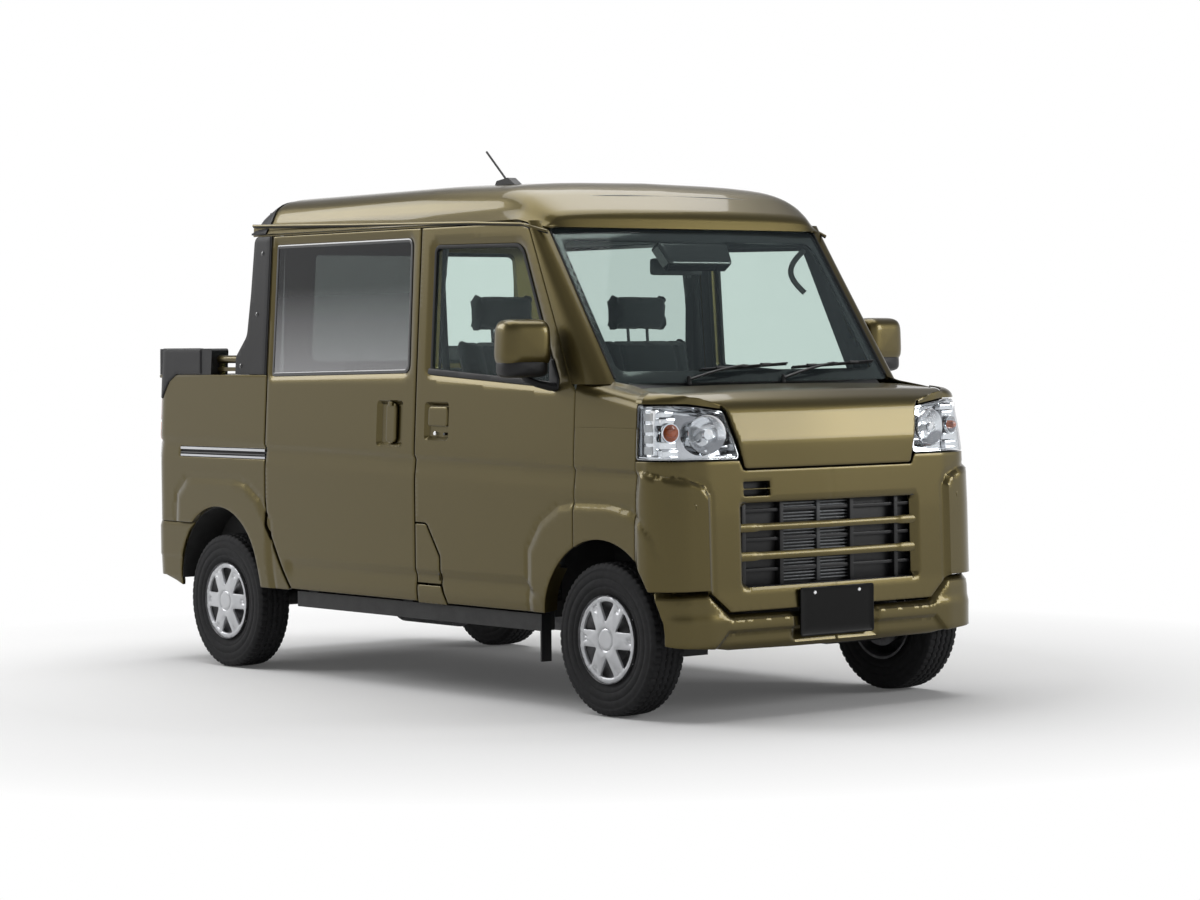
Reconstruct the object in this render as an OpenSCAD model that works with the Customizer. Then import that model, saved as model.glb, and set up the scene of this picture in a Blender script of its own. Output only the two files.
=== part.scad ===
// Four-door kei deck truck: cab with two hinged and two sliding doors and a short drop-gate bed.
// Millimetres. +X forward, +Y left, +Z up; the origin is on the ground, midway between the bumpers.

/* [Overall] */
// Front bumper to front axle
front_overhang = 397.5; // [380:2.5:480]
// Distance between the axles
wheelbase = 2450; // [2040:10:2950]
// Rear axle to rear bumper
rear_overhang = 547.5; // [540:2.5:660]
// Width over the body sides
body_w = 1475; // [1380:5:1770]
// Height of the roof crown
body_h = 1890; // [1820:5:2270]

/* [Wheels] */
// Tyre outside diameter
tyre_d = 537; // [500:1:560]
// Tyre width
tyre_w = 145; // [121:1:165]
// Bead seat diameter of the rim
rim_d = 309; // [280:1:330]
// Tyre side to body side
tyre_inset = 12; // [5:1:30]
// Radius of the front wheel arch
front_arch_r = 324; // [318:1:340]
// Radius of the rear wheel arch
rear_arch_r = 301; // [296:1:320]
// Half length of the front wheel housing, round the steered wheel
housing_r = 340; // [334:1:350]
// Steering axis to the middle of the tyre
kingpin_offset = 100; // [97:1:110]
// Radius of the stub axle that carries a wheel
stub_r = 15; // [12:0.5:19]

/* [Panels] */
// Gap between closed panels
panel_gap = 8; // [7:0.5:10]
// Thickness of a door below its window
door_t = 58; // [48:1:64]
// Thickness of a door's window frame
frame_t = 34; // [28:1:40]
// Thickness of fixed outer panels
skin_t = 24; // [18:1:30]
// Thickness of window glass
glass_t = 5; // [4:0.5:6]
// Height of the window sills
belt_z = 1185; // [1150:5:1220]
// Height of the lower edge of the doors
door_low_z = 342; // [330:2:360]

/* [Bed] */
// Height of the bed floor
bed_floor_z = 690; // [680:5:720]
// Height of the bed sides
bed_top_z = 1180; // [1100:5:1220]
// Thickness of the bed sides
bed_side_t = 95; // [80:1:110]
// Thickness of the tailgate
gate_t = 34; // [28:1:40]

/* [Seats] */
// Width of a front seat
seat_w = 470; // [400:5:500]
// Height of the front seat cushions
seat_z = 745; // [720:5:780]

/* [Hinges] */
// Hinge pin radius
pin_r = 5; // [4:0.25:6]
// Hinge axis to the front edge of a door
hinge_setback = 70; // [66:1:80]
// Hinge axis to the outer face of a door
hinge_depth = 20; // [18:0.5:21]

/* [Hidden] */

// Colours
PAINT = "#6b6340";
BLACK = "#1c1c1d";
TRIM = "#3a3d3e";
GLASS = [0.55, 0.68, 0.66, 0.45];
PRIVACY = [0.12, 0.13, 0.15, 0.8];
METAL = "#b9bcc0";
STEEL = "#6f7276";
CLOTH = "#3d3f42";

// Driving stations
length = front_overhang + wheelbase + rear_overhang;
front_x = length / 2;
rear_x = -length / 2;
front_axle_x = front_x - front_overhang;
rear_axle_x = front_axle_x - wheelbase;
half_w = body_w / 2;
axle_z = tyre_d / 2;
wheel_y = half_w - tyre_inset - tyre_w / 2;
kingpin_y = wheel_y - kingpin_offset;
round_steps = 6;
round_fn = 48;
touch = 0.3;
pin_play = 0.05;
door_clear = 6;

// Heights
sill_z = 274;
drip_z = body_h - 158;
roof_edge_z = body_h - 90;
roof_shoulder_z = body_h - 22;
floor_z = 400;
floor_t = 20;
window_top_z = drip_z - 42;
bumper_top_z = 447;
bumper_low_z = 228;
lid_low_z = 855;
lid_crest_z = 1096;
cowl_z = 1146;
lamp_low_z = 890;
rear_bumper_top_z = 577;
housing_top_z = 655;

// Stations measured from the front axle
door_front_x = front_axle_x - 155;
door_rear_x = front_axle_x - 1105;
hinge_x = door_front_x - hinge_setback;
screen_low_x = front_axle_x - 20;
screen_top_x = front_axle_x - 405;
pillar_top_x = front_axle_x - 446;
pillar_low_x = front_axle_x - 172;
nose_back_x = front_axle_x + 186;
lid_rear_x = front_axle_x + 14;
cowl_front_x = lid_rear_x - 18;
bulkhead_x = cowl_front_x - 4;

// Stations measured from the rear axle
slide_rear_x = rear_axle_x + 330;
wall_x = rear_axle_x + 350;
cab_rear_x = rear_axle_x + 200;
bed_rear_x = rear_x + 35;

// Section of the body side: height, and how far the skin lies inside the half width
side_levels = [[sill_z, 20], [door_low_z, 10], [400, 1], [440, 0], [900, 0], [belt_z, 15], [drip_z, 48]];
function side_inset(z) = lookup(z, side_levels);
function side_y(z) = half_w - side_inset(z);
hinge_y = half_w - hinge_depth;
cabin_y = half_w - door_t - 34;
housing_y = kingpin_y - 147;
housing_x = front_axle_x - housing_r;
sill_front_x = housing_x - 45;
post_y = side_y(cowl_z) - skin_t - touch;

// Outline helpers: points are [a, b, radius]
function unit(v) = v / norm(v);
function flat(p) = [p[0], p[1]];
function corner(a, b, c, r) =
    r <= 0 ? [b] :
    let (u = unit(a - b), w = unit(c - b), half = acos(u * w) / 2)
    let (centre = b + unit(u + w) * r / sin(half), first = b + u * r / tan(half) - centre)
    let (last = b + w * r / tan(half) - centre)
    let (start = atan2(first.y, first.x), turn = (atan2(last.y, last.x) - start + 540) % 360 - 180)
    [for (i = [0:round_steps]) centre + r * [cos(start + turn * i / round_steps),
        sin(start + turn * i / round_steps)]];
function rounded(p) = [for (i = [0:len(p) - 1])
    each corner(flat(p[(i + len(p) - 1) % len(p)]), flat(p[i]), flat(p[(i + 1) % len(p)]),
        len(p[i]) > 2 ? p[i][2] : 0)];
function circle_points(cx, cz, r, from, to, steps) =
    [for (i = [0:steps]) [cx + r * cos(from + (to - from) * i / steps),
        cz + r * sin(from + (to - from) * i / steps)]];

module both_sides() {
    children();
    mirror([0, 1, 0]) children();
}

module right_side() {
    mirror([0, 1, 0]) children();
}

// Outline in X and Z, extruded from y0 to y1
module side_prism(points, y0, y1) {
    translate([0, y1, 0]) rotate([90, 0, 0]) linear_extrude(y1 - y0) polygon(points);
}

// Outline in Y and Z, extruded from x0 to x1
module cross_prism(points, x0, x1) {
    translate([x0, 0, 0]) rotate([90, 0, 90]) linear_extrude(x1 - x0) polygon(points);
}

// Block between two corners
module block(low, high) {
    translate(low) cube(high - low);
}

// Left body side between two stations: outer skin at depth d, low part t_low thick, frame t_high thick
module side_band(x0, x1, t_low, t_high, d = 0) {
    levels = [for (p = side_levels) if (p[0] <= belt_z) p];
    cross_prism(concat(
        [for (p = side_levels) [half_w - p[1] - d, p[0]]],
        [[side_y(drip_z) - d - t_high, drip_z], [side_y(belt_z) - d - t_high, belt_z]],
        [for (i = [len(levels) - 1:-1:0]) [half_w - levels[i][1] - d - t_low, levels[i][0]]]), x0, x1);
}

// Panel cut from the left body side by an outline in X and Z
module side_panel(points, t_low, t_high, d = 0) {
    xs = [for (p = points) p[0]];
    intersection() {
        side_band(min(xs), max(xs), t_low, t_high, d);
        side_prism(points, half_w / 3, half_w + 1);
    }
}

// Round opening of a wheel arch, with a straight skirt below its centre
function arch_points(x, z, r) =
    concat([[x + r, 0]], circle_points(x, z, r, 0, 180, 4 * round_steps), [[x - r, 0]]);
front_arch = arch_points(front_axle_x - 10, axle_z + 22, front_arch_r);
rear_arch = arch_points(rear_axle_x - 26, axle_z + 78, rear_arch_r);

// Windscreen line in X for a height, at the corners of the glass
function screen_x(z) = screen_low_x + (z - cowl_z) * (screen_top_x - screen_low_x) / (window_top_z - cowl_z);
// Front edge of the door frame in X for a height
function pillar_x(z) = z < cowl_z ? door_front_x :
    pillar_low_x + (z - cowl_z) * (pillar_top_x - pillar_low_x) / (window_top_z - cowl_z);

lid_split_z = 412;

front_door_outline = rounded([
    [door_front_x, door_low_z], [door_front_x, cowl_z - 20], [pillar_x(cowl_z), cowl_z],
    [pillar_x(drip_z - door_clear), drip_z - door_clear, 60],
    [door_rear_x, drip_z - door_clear, 8], [door_rear_x, 636, 0], [door_rear_x + 70, 636, 30],
    [door_rear_x + 155, 515, 30], [door_rear_x + 155, 412, 0], [door_rear_x + 187, door_low_z, 0]]);
front_window_outline = rounded([
    [pillar_x(belt_z) - 62, belt_z - 42, 18], [pillar_x(window_top_z - 38) - 70, window_top_z - 38, 70],
    [door_rear_x + 75, window_top_z - 30, 30], [door_rear_x + 75, belt_z + 5, 25]]);
slide_front_x = door_rear_x - panel_gap;
slide_outline = rounded([
    [slide_front_x, door_low_z], [slide_front_x, drip_z - door_clear, 6], [slide_rear_x + 6, drip_z - door_clear, 6],
    [slide_rear_x - 4, 700], [slide_rear_x + 10, 585, 60], [slide_rear_x + 160, door_low_z]]);
slide_window_outline = rounded([
    [slide_front_x - 48, belt_z + 4, 30], [slide_front_x - 54, window_top_z, 30],
    [slide_rear_x + 30, window_top_z, 8], [slide_rear_x + 26, belt_z - 10, 12]]);

module floor_pan() {
    wall = 8;
    housing_front_x = front_axle_x + 300;
    box_t = 20;
    bench_front_x = wall_x + 400;
    seat_box_front_x = front_axle_x - 545;
    color(BLACK) {
        // Flat floor between the sills, and the footwell between the wheel housings
        block([wall_x - skin_t, -cabin_y, floor_z - floor_t], [housing_x, cabin_y, floor_z]);
        block([housing_x, -housing_y, floor_z - floor_t], [bulkhead_x, housing_y, floor_z]);
        // Bulkhead ahead of the pedals
        block([bulkhead_x - floor_t, -housing_y, floor_z], [bulkhead_x, housing_y, cowl_z - 40]);
        // Boxes that carry the front seats over the engine and the rear bench
        for (x = [[door_rear_x + 60, seat_box_front_x], [wall_x + touch, bench_front_x]]) difference() {
            block([x[0], -cabin_y, floor_z], [x[1], cabin_y, seat_z - 150]);
            block([x[0] + box_t, -cabin_y + box_t, floor_z - floor_t - 1], [x[1] - box_t, cabin_y - box_t, seat_z - 150 - box_t]);
        }
        both_sides() {
            // Sill along the doors, with guides under the sliding door
            block([slide_rear_x + 180, cabin_y, sill_z], [sill_front_x, half_w - 26, door_low_z - panel_gap]);
            block([slide_rear_x + 180, cabin_y, sill_z], [sill_front_x, cabin_y + 20, floor_z]);
            for (x = [slide_rear_x + 250, slide_front_x - 120])
                block([x, half_w - 50, door_low_z - panel_gap - 1], [x + 60, half_w - 34, door_low_z - touch]);
            // Front wheel housing: inner wall, roof and rear wall
            block([housing_x, housing_y - wall, floor_z], [housing_front_x, housing_y, housing_top_z]);
            block([housing_x, housing_y - wall, housing_top_z - wall], [door_front_x + 45, cabin_y, housing_top_z]);
            block([door_front_x + 40, housing_y - wall, housing_top_z - wall], [housing_front_x, post_y - 12, housing_top_z]);
            block([housing_x - wall, housing_y - wall, floor_z - floor_t], [housing_x, cabin_y, housing_top_z]);
        }
    }
}

module cab_frame() {
    inner_y = function (z) side_y(z) - door_t - 8;
    rail_low = drip_z - 50;
    color(PAINT) both_sides() {
        // Front pillar between windscreen and door
        side_panel([
            [pillar_x(cowl_z) + panel_gap + 2, cowl_z - 10], [pillar_x(drip_z - 2) + panel_gap, drip_z],
            [screen_x(drip_z) - 6, drip_z], [screen_x(cowl_z) - 8, cowl_z - 10]], 70, 60);
        // Panel behind the sliding door, under the black cover
        side_panel([
            [slide_rear_x - panel_gap, bed_top_z + touch], [slide_rear_x - panel_gap + 6, drip_z],
            [cab_rear_x + 20, drip_z], [cab_rear_x, window_top_z], [cab_rear_x - 20, bed_top_z + touch]], 50, 50, 6);
        // Base of the centre pillar below the fuel lid, standing on the sill
        side_panel([
            [door_rear_x, lid_split_z - 6], [door_rear_x + 147, lid_split_z - 6],
            [door_rear_x + 177, door_low_z], [door_rear_x + 177, door_low_z - panel_gap + touch],
            [door_rear_x, door_low_z - panel_gap + touch]], door_t, door_t);
        // Back of the fuel lid's pocket
        block([door_rear_x, half_w - door_t - 8, lid_split_z - 20], [door_rear_x + 148, half_w - door_t, 632]);
        // Centre pillar inside the doors
        cross_prism([[inner_y(floor_z) + 2, floor_z + touch], [inner_y(belt_z), belt_z], [inner_y(drip_z) + 24, drip_z],
            [inner_y(drip_z) - 20, drip_z], [inner_y(belt_z) - 50, belt_z], [inner_y(floor_z) - 25, floor_z + touch]],
            door_rear_x - 50, door_rear_x + 50);
        // Roof rail over the doors
        cross_prism([[inner_y(drip_z) + 24, drip_z], [inner_y(drip_z) + 24, rail_low],
            [inner_y(drip_z) - 22, rail_low], [inner_y(drip_z) - 22, drip_z]], wall_x + touch, screen_x(drip_z) - 30);
        // Hinge brackets and hinge post at the front edge of the front door
        for (z = hinge_levels) hinge_bracket(z);
        block([door_front_x + 10, half_w - 130, housing_top_z + touch], [door_front_x + 40, post_y, cowl_z - 20]);
        block([door_front_x - 30, half_w - 130, housing_top_z + touch], [door_front_x + 10, half_w - 92, cowl_z - 20]);
        block([door_front_x + 10, half_w - 130, cowl_z - 21], [screen_low_x - 20, side_y(belt_z) - 40, cowl_z - 1]);
    }
    color(PAINT) {
        // Fixed panel on the left where the right side has its fuel lid
        fuel_panel(12);
        block([door_rear_x + 4, half_w - door_t - 1, lid_split_z], [door_rear_x + 12, half_w - 11, 620]);
        right_side() fuel_pin();
    }
}

hinge_h = 50;
hinge_levels = [690, 850];
eye_r = pin_r + 3;

// Bracket on the cab with the pin that a front door turns on
module hinge_bracket(z) {
    translate([hinge_x, hinge_y, z]) cylinder(r = pin_r, h = 2 * hinge_h, $fn = round_fn);
    translate([hinge_x, hinge_y, z]) cylinder(r = eye_r, h = hinge_h - 1, $fn = round_fn);
    block([hinge_x - 8, half_w - 115, z], [hinge_x + 8, hinge_y, z + hinge_h - 1]);
    block([hinge_x - 8, half_w - 115, z], [door_front_x + 10, half_w - 100, z + hinge_h - 1]);
}

module roof() {
    base_z = drip_z + touch;
    side = side_y(drip_z);
    crown_w = side - 150;
    crown_drop = 14;
    crown_n = 8;
    inner_w = side - 60;
    inner_z = body_h - 50;
    crown = [for (i = [-crown_n:crown_n]) [-crown_w * i / crown_n, body_h - crown_drop * pow(i / crown_n, 2)]];
    outer = concat(
        rounded([[0, base_z], [side + 6, base_z], [side + 6, drip_z + 12, 3], [side - 12, drip_z + 18, 4],
            [side - 26, roof_edge_z, 20], [side - 70, body_h - 36, 50], [crown_w + 1, body_h - crown_drop]]),
        crown,
        rounded([[-crown_w - 1, body_h - crown_drop], [70 - side, body_h - 36, 50], [26 - side, roof_edge_z, 20],
            [12 - side, drip_z + 18, 4], [-side - 6, drip_z + 12, 3], [-side - 6, base_z]]));
    inner = rounded([[inner_w, base_z - 1], [inner_w - 6, roof_edge_z - 10, 30], [inner_w - 80, inner_z, 60],
        [80 - inner_w, inner_z, 60], [6 - inner_w, roof_edge_z - 10, 30], [-inner_w, base_z - 1]]);
    length_line = rounded([
        [cab_rear_x - 12, base_z - 1, 0], [cab_rear_x + 14, roof_edge_z + 10, 60], [cab_rear_x + 110, body_h + 1, 120],
        [screen_top_x - 160, body_h + 1, 300], [screen_top_x + 15, drip_z + 22, 30], [screen_top_x - 5, base_z - 1, 0]]);
    color(PAINT) intersection() {
        difference() {
            cross_prism(outer, cab_rear_x - 20, screen_top_x + 30);
            cross_prism(inner, wall_x + 10, screen_top_x - 60);
        }
        side_prism(length_line, -half_w, half_w);
    }
}

module back_wall() {
    top_y = side_y(drip_z) - 62;
    color(PAINT) difference() {
        cross_prism([[-cabin_y, floor_z + touch], [cabin_y, floor_z + touch], [cabin_y, belt_z], [top_y, drip_z],
            [-top_y, drip_z], [-cabin_y, belt_z]], wall_x - skin_t, wall_x);
        cross_prism(rear_window_points(0), wall_x - skin_t - 1, wall_x + 1);
    }
}

function rear_window_points(inset) = let (w = half_w - 210 - inset) rounded([
    [-w, belt_z + 30 + inset, 40], [w, belt_z + 30 + inset, 40],
    [w - 30, window_top_z - 20 - inset, 40], [-w + 30, window_top_z - 20 - inset, 40]]);

module rear_window() {
    color(PRIVACY) cross_prism(rear_window_points(touch), wall_x - 14, wall_x - 14 + glass_t);
}

module bed_floor() {
    inner = half_w - bed_side_t - touch;
    front_x = bed_rear_x + gate_t + door_clear;
    rib_w = 60;
    rib_pitch = 160;
    color(PAINT) {
        difference() {
            block([front_x, -inner, bed_floor_z - 34], [wall_x - skin_t - touch, inner, bed_floor_z]);
            for (i = [-3:3]) block([front_x + 54, i * rib_pitch - rib_w / 2, bed_floor_z - 8],
                [wall_x - skin_t - 60, i * rib_pitch + rib_w / 2, bed_floor_z + 1]);
        }
        // Tail sill that carries the gate hinges and stands on the bumper
        block([front_x, -inner, rear_bumper_top_z + touch], [front_x + 40, inner, bed_floor_z - 33]);
        for (y = [-gate_hinge_y, gate_hinge_y]) gate_bracket(y);
    }
}

gate_hinge_y = half_w - 260;
gate_axis_x = bed_rear_x - 4;
gate_axis_z = bed_floor_z - 14;
gate_low_z = bed_floor_z + door_clear;

// Bracket with the pin of a tailgate hinge, reaching back below the gate
module gate_bracket(y) {
    eye_w = 24;
    translate([gate_axis_x, y - 2 * eye_w, gate_axis_z]) rotate([-90, 0, 0]) cylinder(r = pin_r, h = 4 * eye_w, $fn = round_fn);
    translate([gate_axis_x, y - eye_w, gate_axis_z]) rotate([-90, 0, 0]) cylinder(r = eye_r, h = 2 * eye_w, $fn = round_fn);
    block([gate_axis_x, y - eye_w, gate_axis_z - 20], [bed_rear_x + gate_t + 8, y + eye_w, gate_axis_z - 4]);
}

module bed_sides() {
    inner = half_w - bed_side_t;
    seam_x = slide_rear_x - panel_gap;
    bumper_z = rear_bumper_top_z + touch;
    color(PAINT) both_sides() difference() {
        union() {
            // Side of the bed
            intersection() {
                side_panel([[seam_x - 4, 500], [seam_x - 4, 700], [seam_x, bed_top_z], [bed_rear_x, bed_top_z],
                    [bed_rear_x, bumper_z], [rear_axle_x - 200, bumper_z], [rear_axle_x - 200, 500]], 2 * bed_side_t, 2 * bed_side_t);
                block([bed_rear_x, inner, 0], [wall_x, half_w, body_h]);
                bed_plan(0);
            }
            // Strip between the wheel arch and the curved edge of the sliding door
            side_panel(rounded([[seam_x - 60, 690], [seam_x - 4, 700], [seam_x + 2, 582, 60],
                [seam_x + 152, door_low_z], [seam_x + 140, door_low_z - panel_gap + touch],
                [seam_x - 60, door_low_z - panel_gap + touch]]), 50, 50);
        }
        side_prism(rear_arch, half_w / 3, half_w + 1);
        // Wheel housing under the bed floor
        block([rear_axle_x - 330, half_w / 3, 0], [rear_axle_x + 280, half_w - 14, bed_floor_z - 35]);
        // Track of the sliding door's roller
        block([bed_rear_x + 197, half_w - 12, 846], [seam_x + 1, half_w + 1, 888]);
        rear_lamp_zone(touch);
    }
}

lamp_depth = 14;

// Space of a rear lamp in the left rear corner, with clearance c round the lamp
module rear_lamp_zone(c) {
    difference() {
        block([bed_rear_x - 1, half_w - bed_side_t + 12 - c, 830 - c], [bed_rear_x + 46 + c, half_w - 12 + c, 1090 + c]);
        bed_plan(lamp_depth + c);
    }
}

// Plan of the bed with its rounded rear corners
module bed_plan(inset) {
    points = rounded([[wall_x + 200, -half_w + inset], [wall_x + 200, half_w - inset],
        [bed_rear_x + inset, half_w - inset, 70], [bed_rear_x + inset, -half_w + inset, 70]]);
    linear_extrude(body_h) polygon(points);
}

module tailgate() {
    gate_y = half_w - bed_side_t - 6;
    eye_w = 24;
    color(PAINT) {
        difference() {
            block([bed_rear_x, -gate_y, gate_low_z], [bed_rear_x + gate_t, gate_y, bed_top_z]);
            block([bed_rear_x + gate_t - 10, -gate_y + 80, gate_low_z + 70], [bed_rear_x + gate_t + 1, gate_y - 80, bed_top_z - 70]);
            // Pocket for the handle in the middle of the outer face
            block([bed_rear_x - 1, -110, bed_top_z - 150], [bed_rear_x + 14, 110, bed_top_z - 70]);
        }
        for (y = [-gate_hinge_y, gate_hinge_y], side = [-1, 1]) difference() {
            union() {
                translate([gate_axis_x, y + side * 1.5 * eye_w + side, gate_axis_z]) rotate([90, 0, 0])
                    cylinder(r = eye_r, h = eye_w - 2, center = true, $fn = round_fn);
                block([gate_axis_x - eye_r, y + side * 1.5 * eye_w + side - eye_w / 2 + 1, gate_axis_z],
                    [bed_rear_x + 12, y + side * 1.5 * eye_w + side + eye_w / 2 - 1, gate_low_z + 20]);
            }
            translate([gate_axis_x, y, gate_axis_z]) rotate([90, 0, 0])
                cylinder(r = pin_r + pin_play, h = 8 * eye_w, center = true, $fn = round_fn);
        }
    }
}

module bed_rails() {
    tube_r = 16;
    rail_y = half_w - 60;
    tube_z = bed_top_z + 62;
    x0 = cap_front_x + touch;
    x1 = cab_rear_x - 100 - touch;
    color(PAINT) both_sides() {
        translate([x0, rail_y, tube_z]) rotate([0, 90, 0]) cylinder(r = tube_r, h = x1 - x0, $fn = round_fn);
        block([x0, rail_y - 12, bed_top_z + 14], [x1, rail_y + 12, bed_top_z + 30]);
        for (x = [x0 + 6, x1 - 26])
            block([x, rail_y - 8, bed_top_z + touch], [x + 20, rail_y + 8, tube_z]);
    }
}

cap_front_x = bed_rear_x + 422;

module pillar_covers() {
    color(TRIM) both_sides() difference() {
        side_panel(rounded([
            [slide_rear_x - panel_gap - 4, bed_top_z + touch, 0], [slide_rear_x - panel_gap + 2, window_top_z, 0],
            [cab_rear_x + 10, window_top_z, 12], [cab_rear_x - 20, bed_top_z + 160, 60],
            [cab_rear_x - 100, bed_top_z + 70, 40], [cab_rear_x - 100, bed_top_z + touch, 10]]), 6 - touch, 6 - touch);
    }
}

module gate_caps() {
    cap_h = 106;
    color(TRIM) both_sides() intersection() {
        side_panel(rounded([
            [bed_rear_x + 190, bed_top_z + touch], [cap_front_x, bed_top_z + touch, 0],
            [cap_front_x, bed_top_z + cap_h, 14], [bed_rear_x, bed_top_z + cap_h, 20],
            [bed_rear_x, bed_top_z + touch, 0]]), 80, 80);
        bed_plan(0);
    }
}

// Plan of the nose: rounded corners between the side and the slightly bowed front
module nose_plan(inset, bow) {
    x = front_x - bow - inset;
    y = half_w - inset;
    polygon(rounded([
        [nose_back_x, -y], [x - 42, -y, 120 - inset], [x - 12, -half_w + 175, 260], [x + 2, 0, 2600],
        [x - 12, half_w - 175, 260], [x - 42, y, 120 - inset], [nose_back_x, y]]));
}

// Solid of the nose between two heights, leaning back towards the top
module nose_mass(z0, z1, inset, bow, lean) {
    intersection() {
        translate([0, 0, z0]) linear_extrude(z1 - z0) nose_plan(inset, bow);
        side_prism([[nose_back_x - 1, z0 - 1], [front_x - bow - inset, z0 - 1],
            [front_x - bow - inset - lean, z1 + 1], [nose_back_x - 1, z1 + 1]], -half_w, half_w);
    }
}

module nose_panel() {
    opening_y = 420;
    z0 = bumper_top_z + touch;
    top_z = lamp_low_z - touch;
    bow = 14;
    lean = 18;
    bar_x = front_x - bow - skin_t - 12;
    color(PAINT) {
        difference() {
            nose_mass(z0, top_z, 0, bow, lean);
            nose_mass(z0 - 2, top_z + 2, skin_t, bow, lean);
            block([nose_back_x, -opening_y, bumper_top_z], [front_x, opening_y, 743]);
            block([nose_back_x, -lamp_inner_y, lid_low_z - panel_gap], [front_x, lamp_inner_y, top_z + 1]);
            side_prism(front_arch, -half_w - 1, half_w + 1);
            // Two vent slots above the grille on the right
            for (z = [768, 796]) block([nose_back_x, -400, z], [front_x, -300, z + 16]);
        }
        // Bars across the opening
        for (z = [560, 655]) block([bar_x, -opening_y - 1, z], [front_x - bow - 14, opening_y + 1, z + 24]);
        block([bar_x + 12, -opening_y - 1, z0], [front_x - bow - 6, opening_y + 1, bumper_top_z + 16]);
    }
}

lamp_inner_y = 418;

module grille() {
    x = front_x - 76;
    low_z = bumper_top_z + touch;
    slat_x = x + 14;
    color(BLACK) {
        block([x, -434, low_z], [slat_x + touch, 434, 765]);
        for (i = [-5:5]) block([slat_x, i * 70 - 4, low_z], [slat_x + 10, i * 70 + 4, 755]);
    }
}

module front_bumper() {
    bow = 6.5;
    color(PAINT) difference() {
        union() {
            difference() {
                nose_mass(bumper_low_z, bumper_top_z, 0, bow, 6);
                nose_mass(bumper_low_z - 2, bumper_top_z - skin_t, skin_t, bow, 6);
                nose_mass(bumper_top_z - skin_t - 1, bumper_top_z + 1, 3.4 * skin_t, bow, 6);
                side_prism(front_arch, -half_w - 1, half_w + 1);
                // Air intake below the plate
                block([nose_back_x, -490, bumper_low_z - 1], [front_x, 490, bumper_low_z + 24]);
            }
            // Stays to the front of the frame
            for (y = [-330, 330])
                block([front_x - 140 + touch, y - 25, 320], [front_x - bow - skin_t + 1, y + 25, 370]);
            // Plate holder
            block([front_x - 16, plate_y - 120, plate_z - 60], [front_x - plate_t - touch, plate_y + 120, plate_z + 60]);
        }
        plate_holes(front_x);
    }
}

module headlamps() {
    bow = 16;
    lean = 62;
    top_z = lid_crest_z - 36;
    color("#cfd6d9") both_sides() intersection() {
        difference() {
            nose_mass(lamp_low_z, lid_crest_z, 2, bow, lean);
            nose_mass(lamp_low_z - 1, lid_crest_z + 1, 82, bow, lean);
        }
        cross_prism(rounded([[lamp_inner_y + touch, lamp_low_z], [lamp_inner_y + 56, top_z, 12],
            [half_w + 10, top_z + 14, 20], [half_w + 10, lamp_low_z]]), nose_back_x + touch, front_x);
    }
}

lid_axis_x = lid_rear_x + 10;
lid_axis_z = cowl_z - 36;
lid_hinge_y = 380;
lid_pin_r = 4;
lid_eye_r = 6;

lid_line = rounded([
    [front_x - 30, lid_low_z, 0], [front_x - 32, lid_low_z + 90, 120], [front_x - 62, lid_crest_z - 4, 40],
    [front_x - 130, lid_crest_z + 16, 60], [lid_rear_x, cowl_z - 10, 0], [lid_rear_x, lid_axis_z + 11, 0],
    [front_x - 140, lid_crest_z - 4, 50], [front_x - 84, lid_crest_z - 26, 30], [front_x - 54, lid_low_z + 80, 100],
    [front_x - 54, lid_low_z, 0]]);

module front_lid() {
    eye_w = 24;
    top_y = 636;
    color(PAINT) {
        intersection() {
            side_prism(lid_line, -top_y - 1, top_y + 1);
            cross_prism(rounded([[-400, lid_low_z - 1], [400, lid_low_z - 1], [458, lid_crest_z - 30, 20],
                [top_y, lid_crest_z - 14, 10], [top_y, cowl_z], [-top_y, cowl_z], [-top_y, lid_crest_z - 14, 10],
                [-458, lid_crest_z - 30, 20]]), 0, front_x);
        }
        for (y = [-lid_hinge_y, lid_hinge_y], side = [-1, 1]) difference() {
            union() {
                translate([lid_axis_x, y + side * (1.5 * eye_w + 1), lid_axis_z]) rotate([90, 0, 0])
                    cylinder(r = lid_eye_r, h = eye_w - 2, center = true, $fn = round_fn);
                block([lid_axis_x, y + side * (1.5 * eye_w + 1) - eye_w / 2 + 1, lid_axis_z - lid_eye_r],
                    [lid_axis_x + 12, y + side * (1.5 * eye_w + 1) + eye_w / 2 - 1, lid_axis_z + 12]);
            }
            translate([lid_axis_x, y, lid_axis_z]) rotate([90, 0, 0])
                cylinder(r = lid_pin_r + pin_play, h = 8 * eye_w, center = true, $fn = round_fn);
        }
    }
}

module windscreen() {
    w_low = half_w - 92;
    w_top = half_w - 104;
    z0 = cowl_z + 24;
    z1 = window_top_z + 6;
    color(GLASS) intersection() {
        side_prism([[screen_x(z0), z0], [screen_x(z1), z1], [screen_x(z1) - glass_t * 1.25, z1],
            [screen_x(z0) - glass_t * 1.25, z0]], -half_w, half_w);
        cross_prism(rounded([[-w_low, z0, 30], [w_low, z0, 30], [w_top, z1, 40], [-w_top, z1, 40]]), 0, front_x);
    }
}

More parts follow.
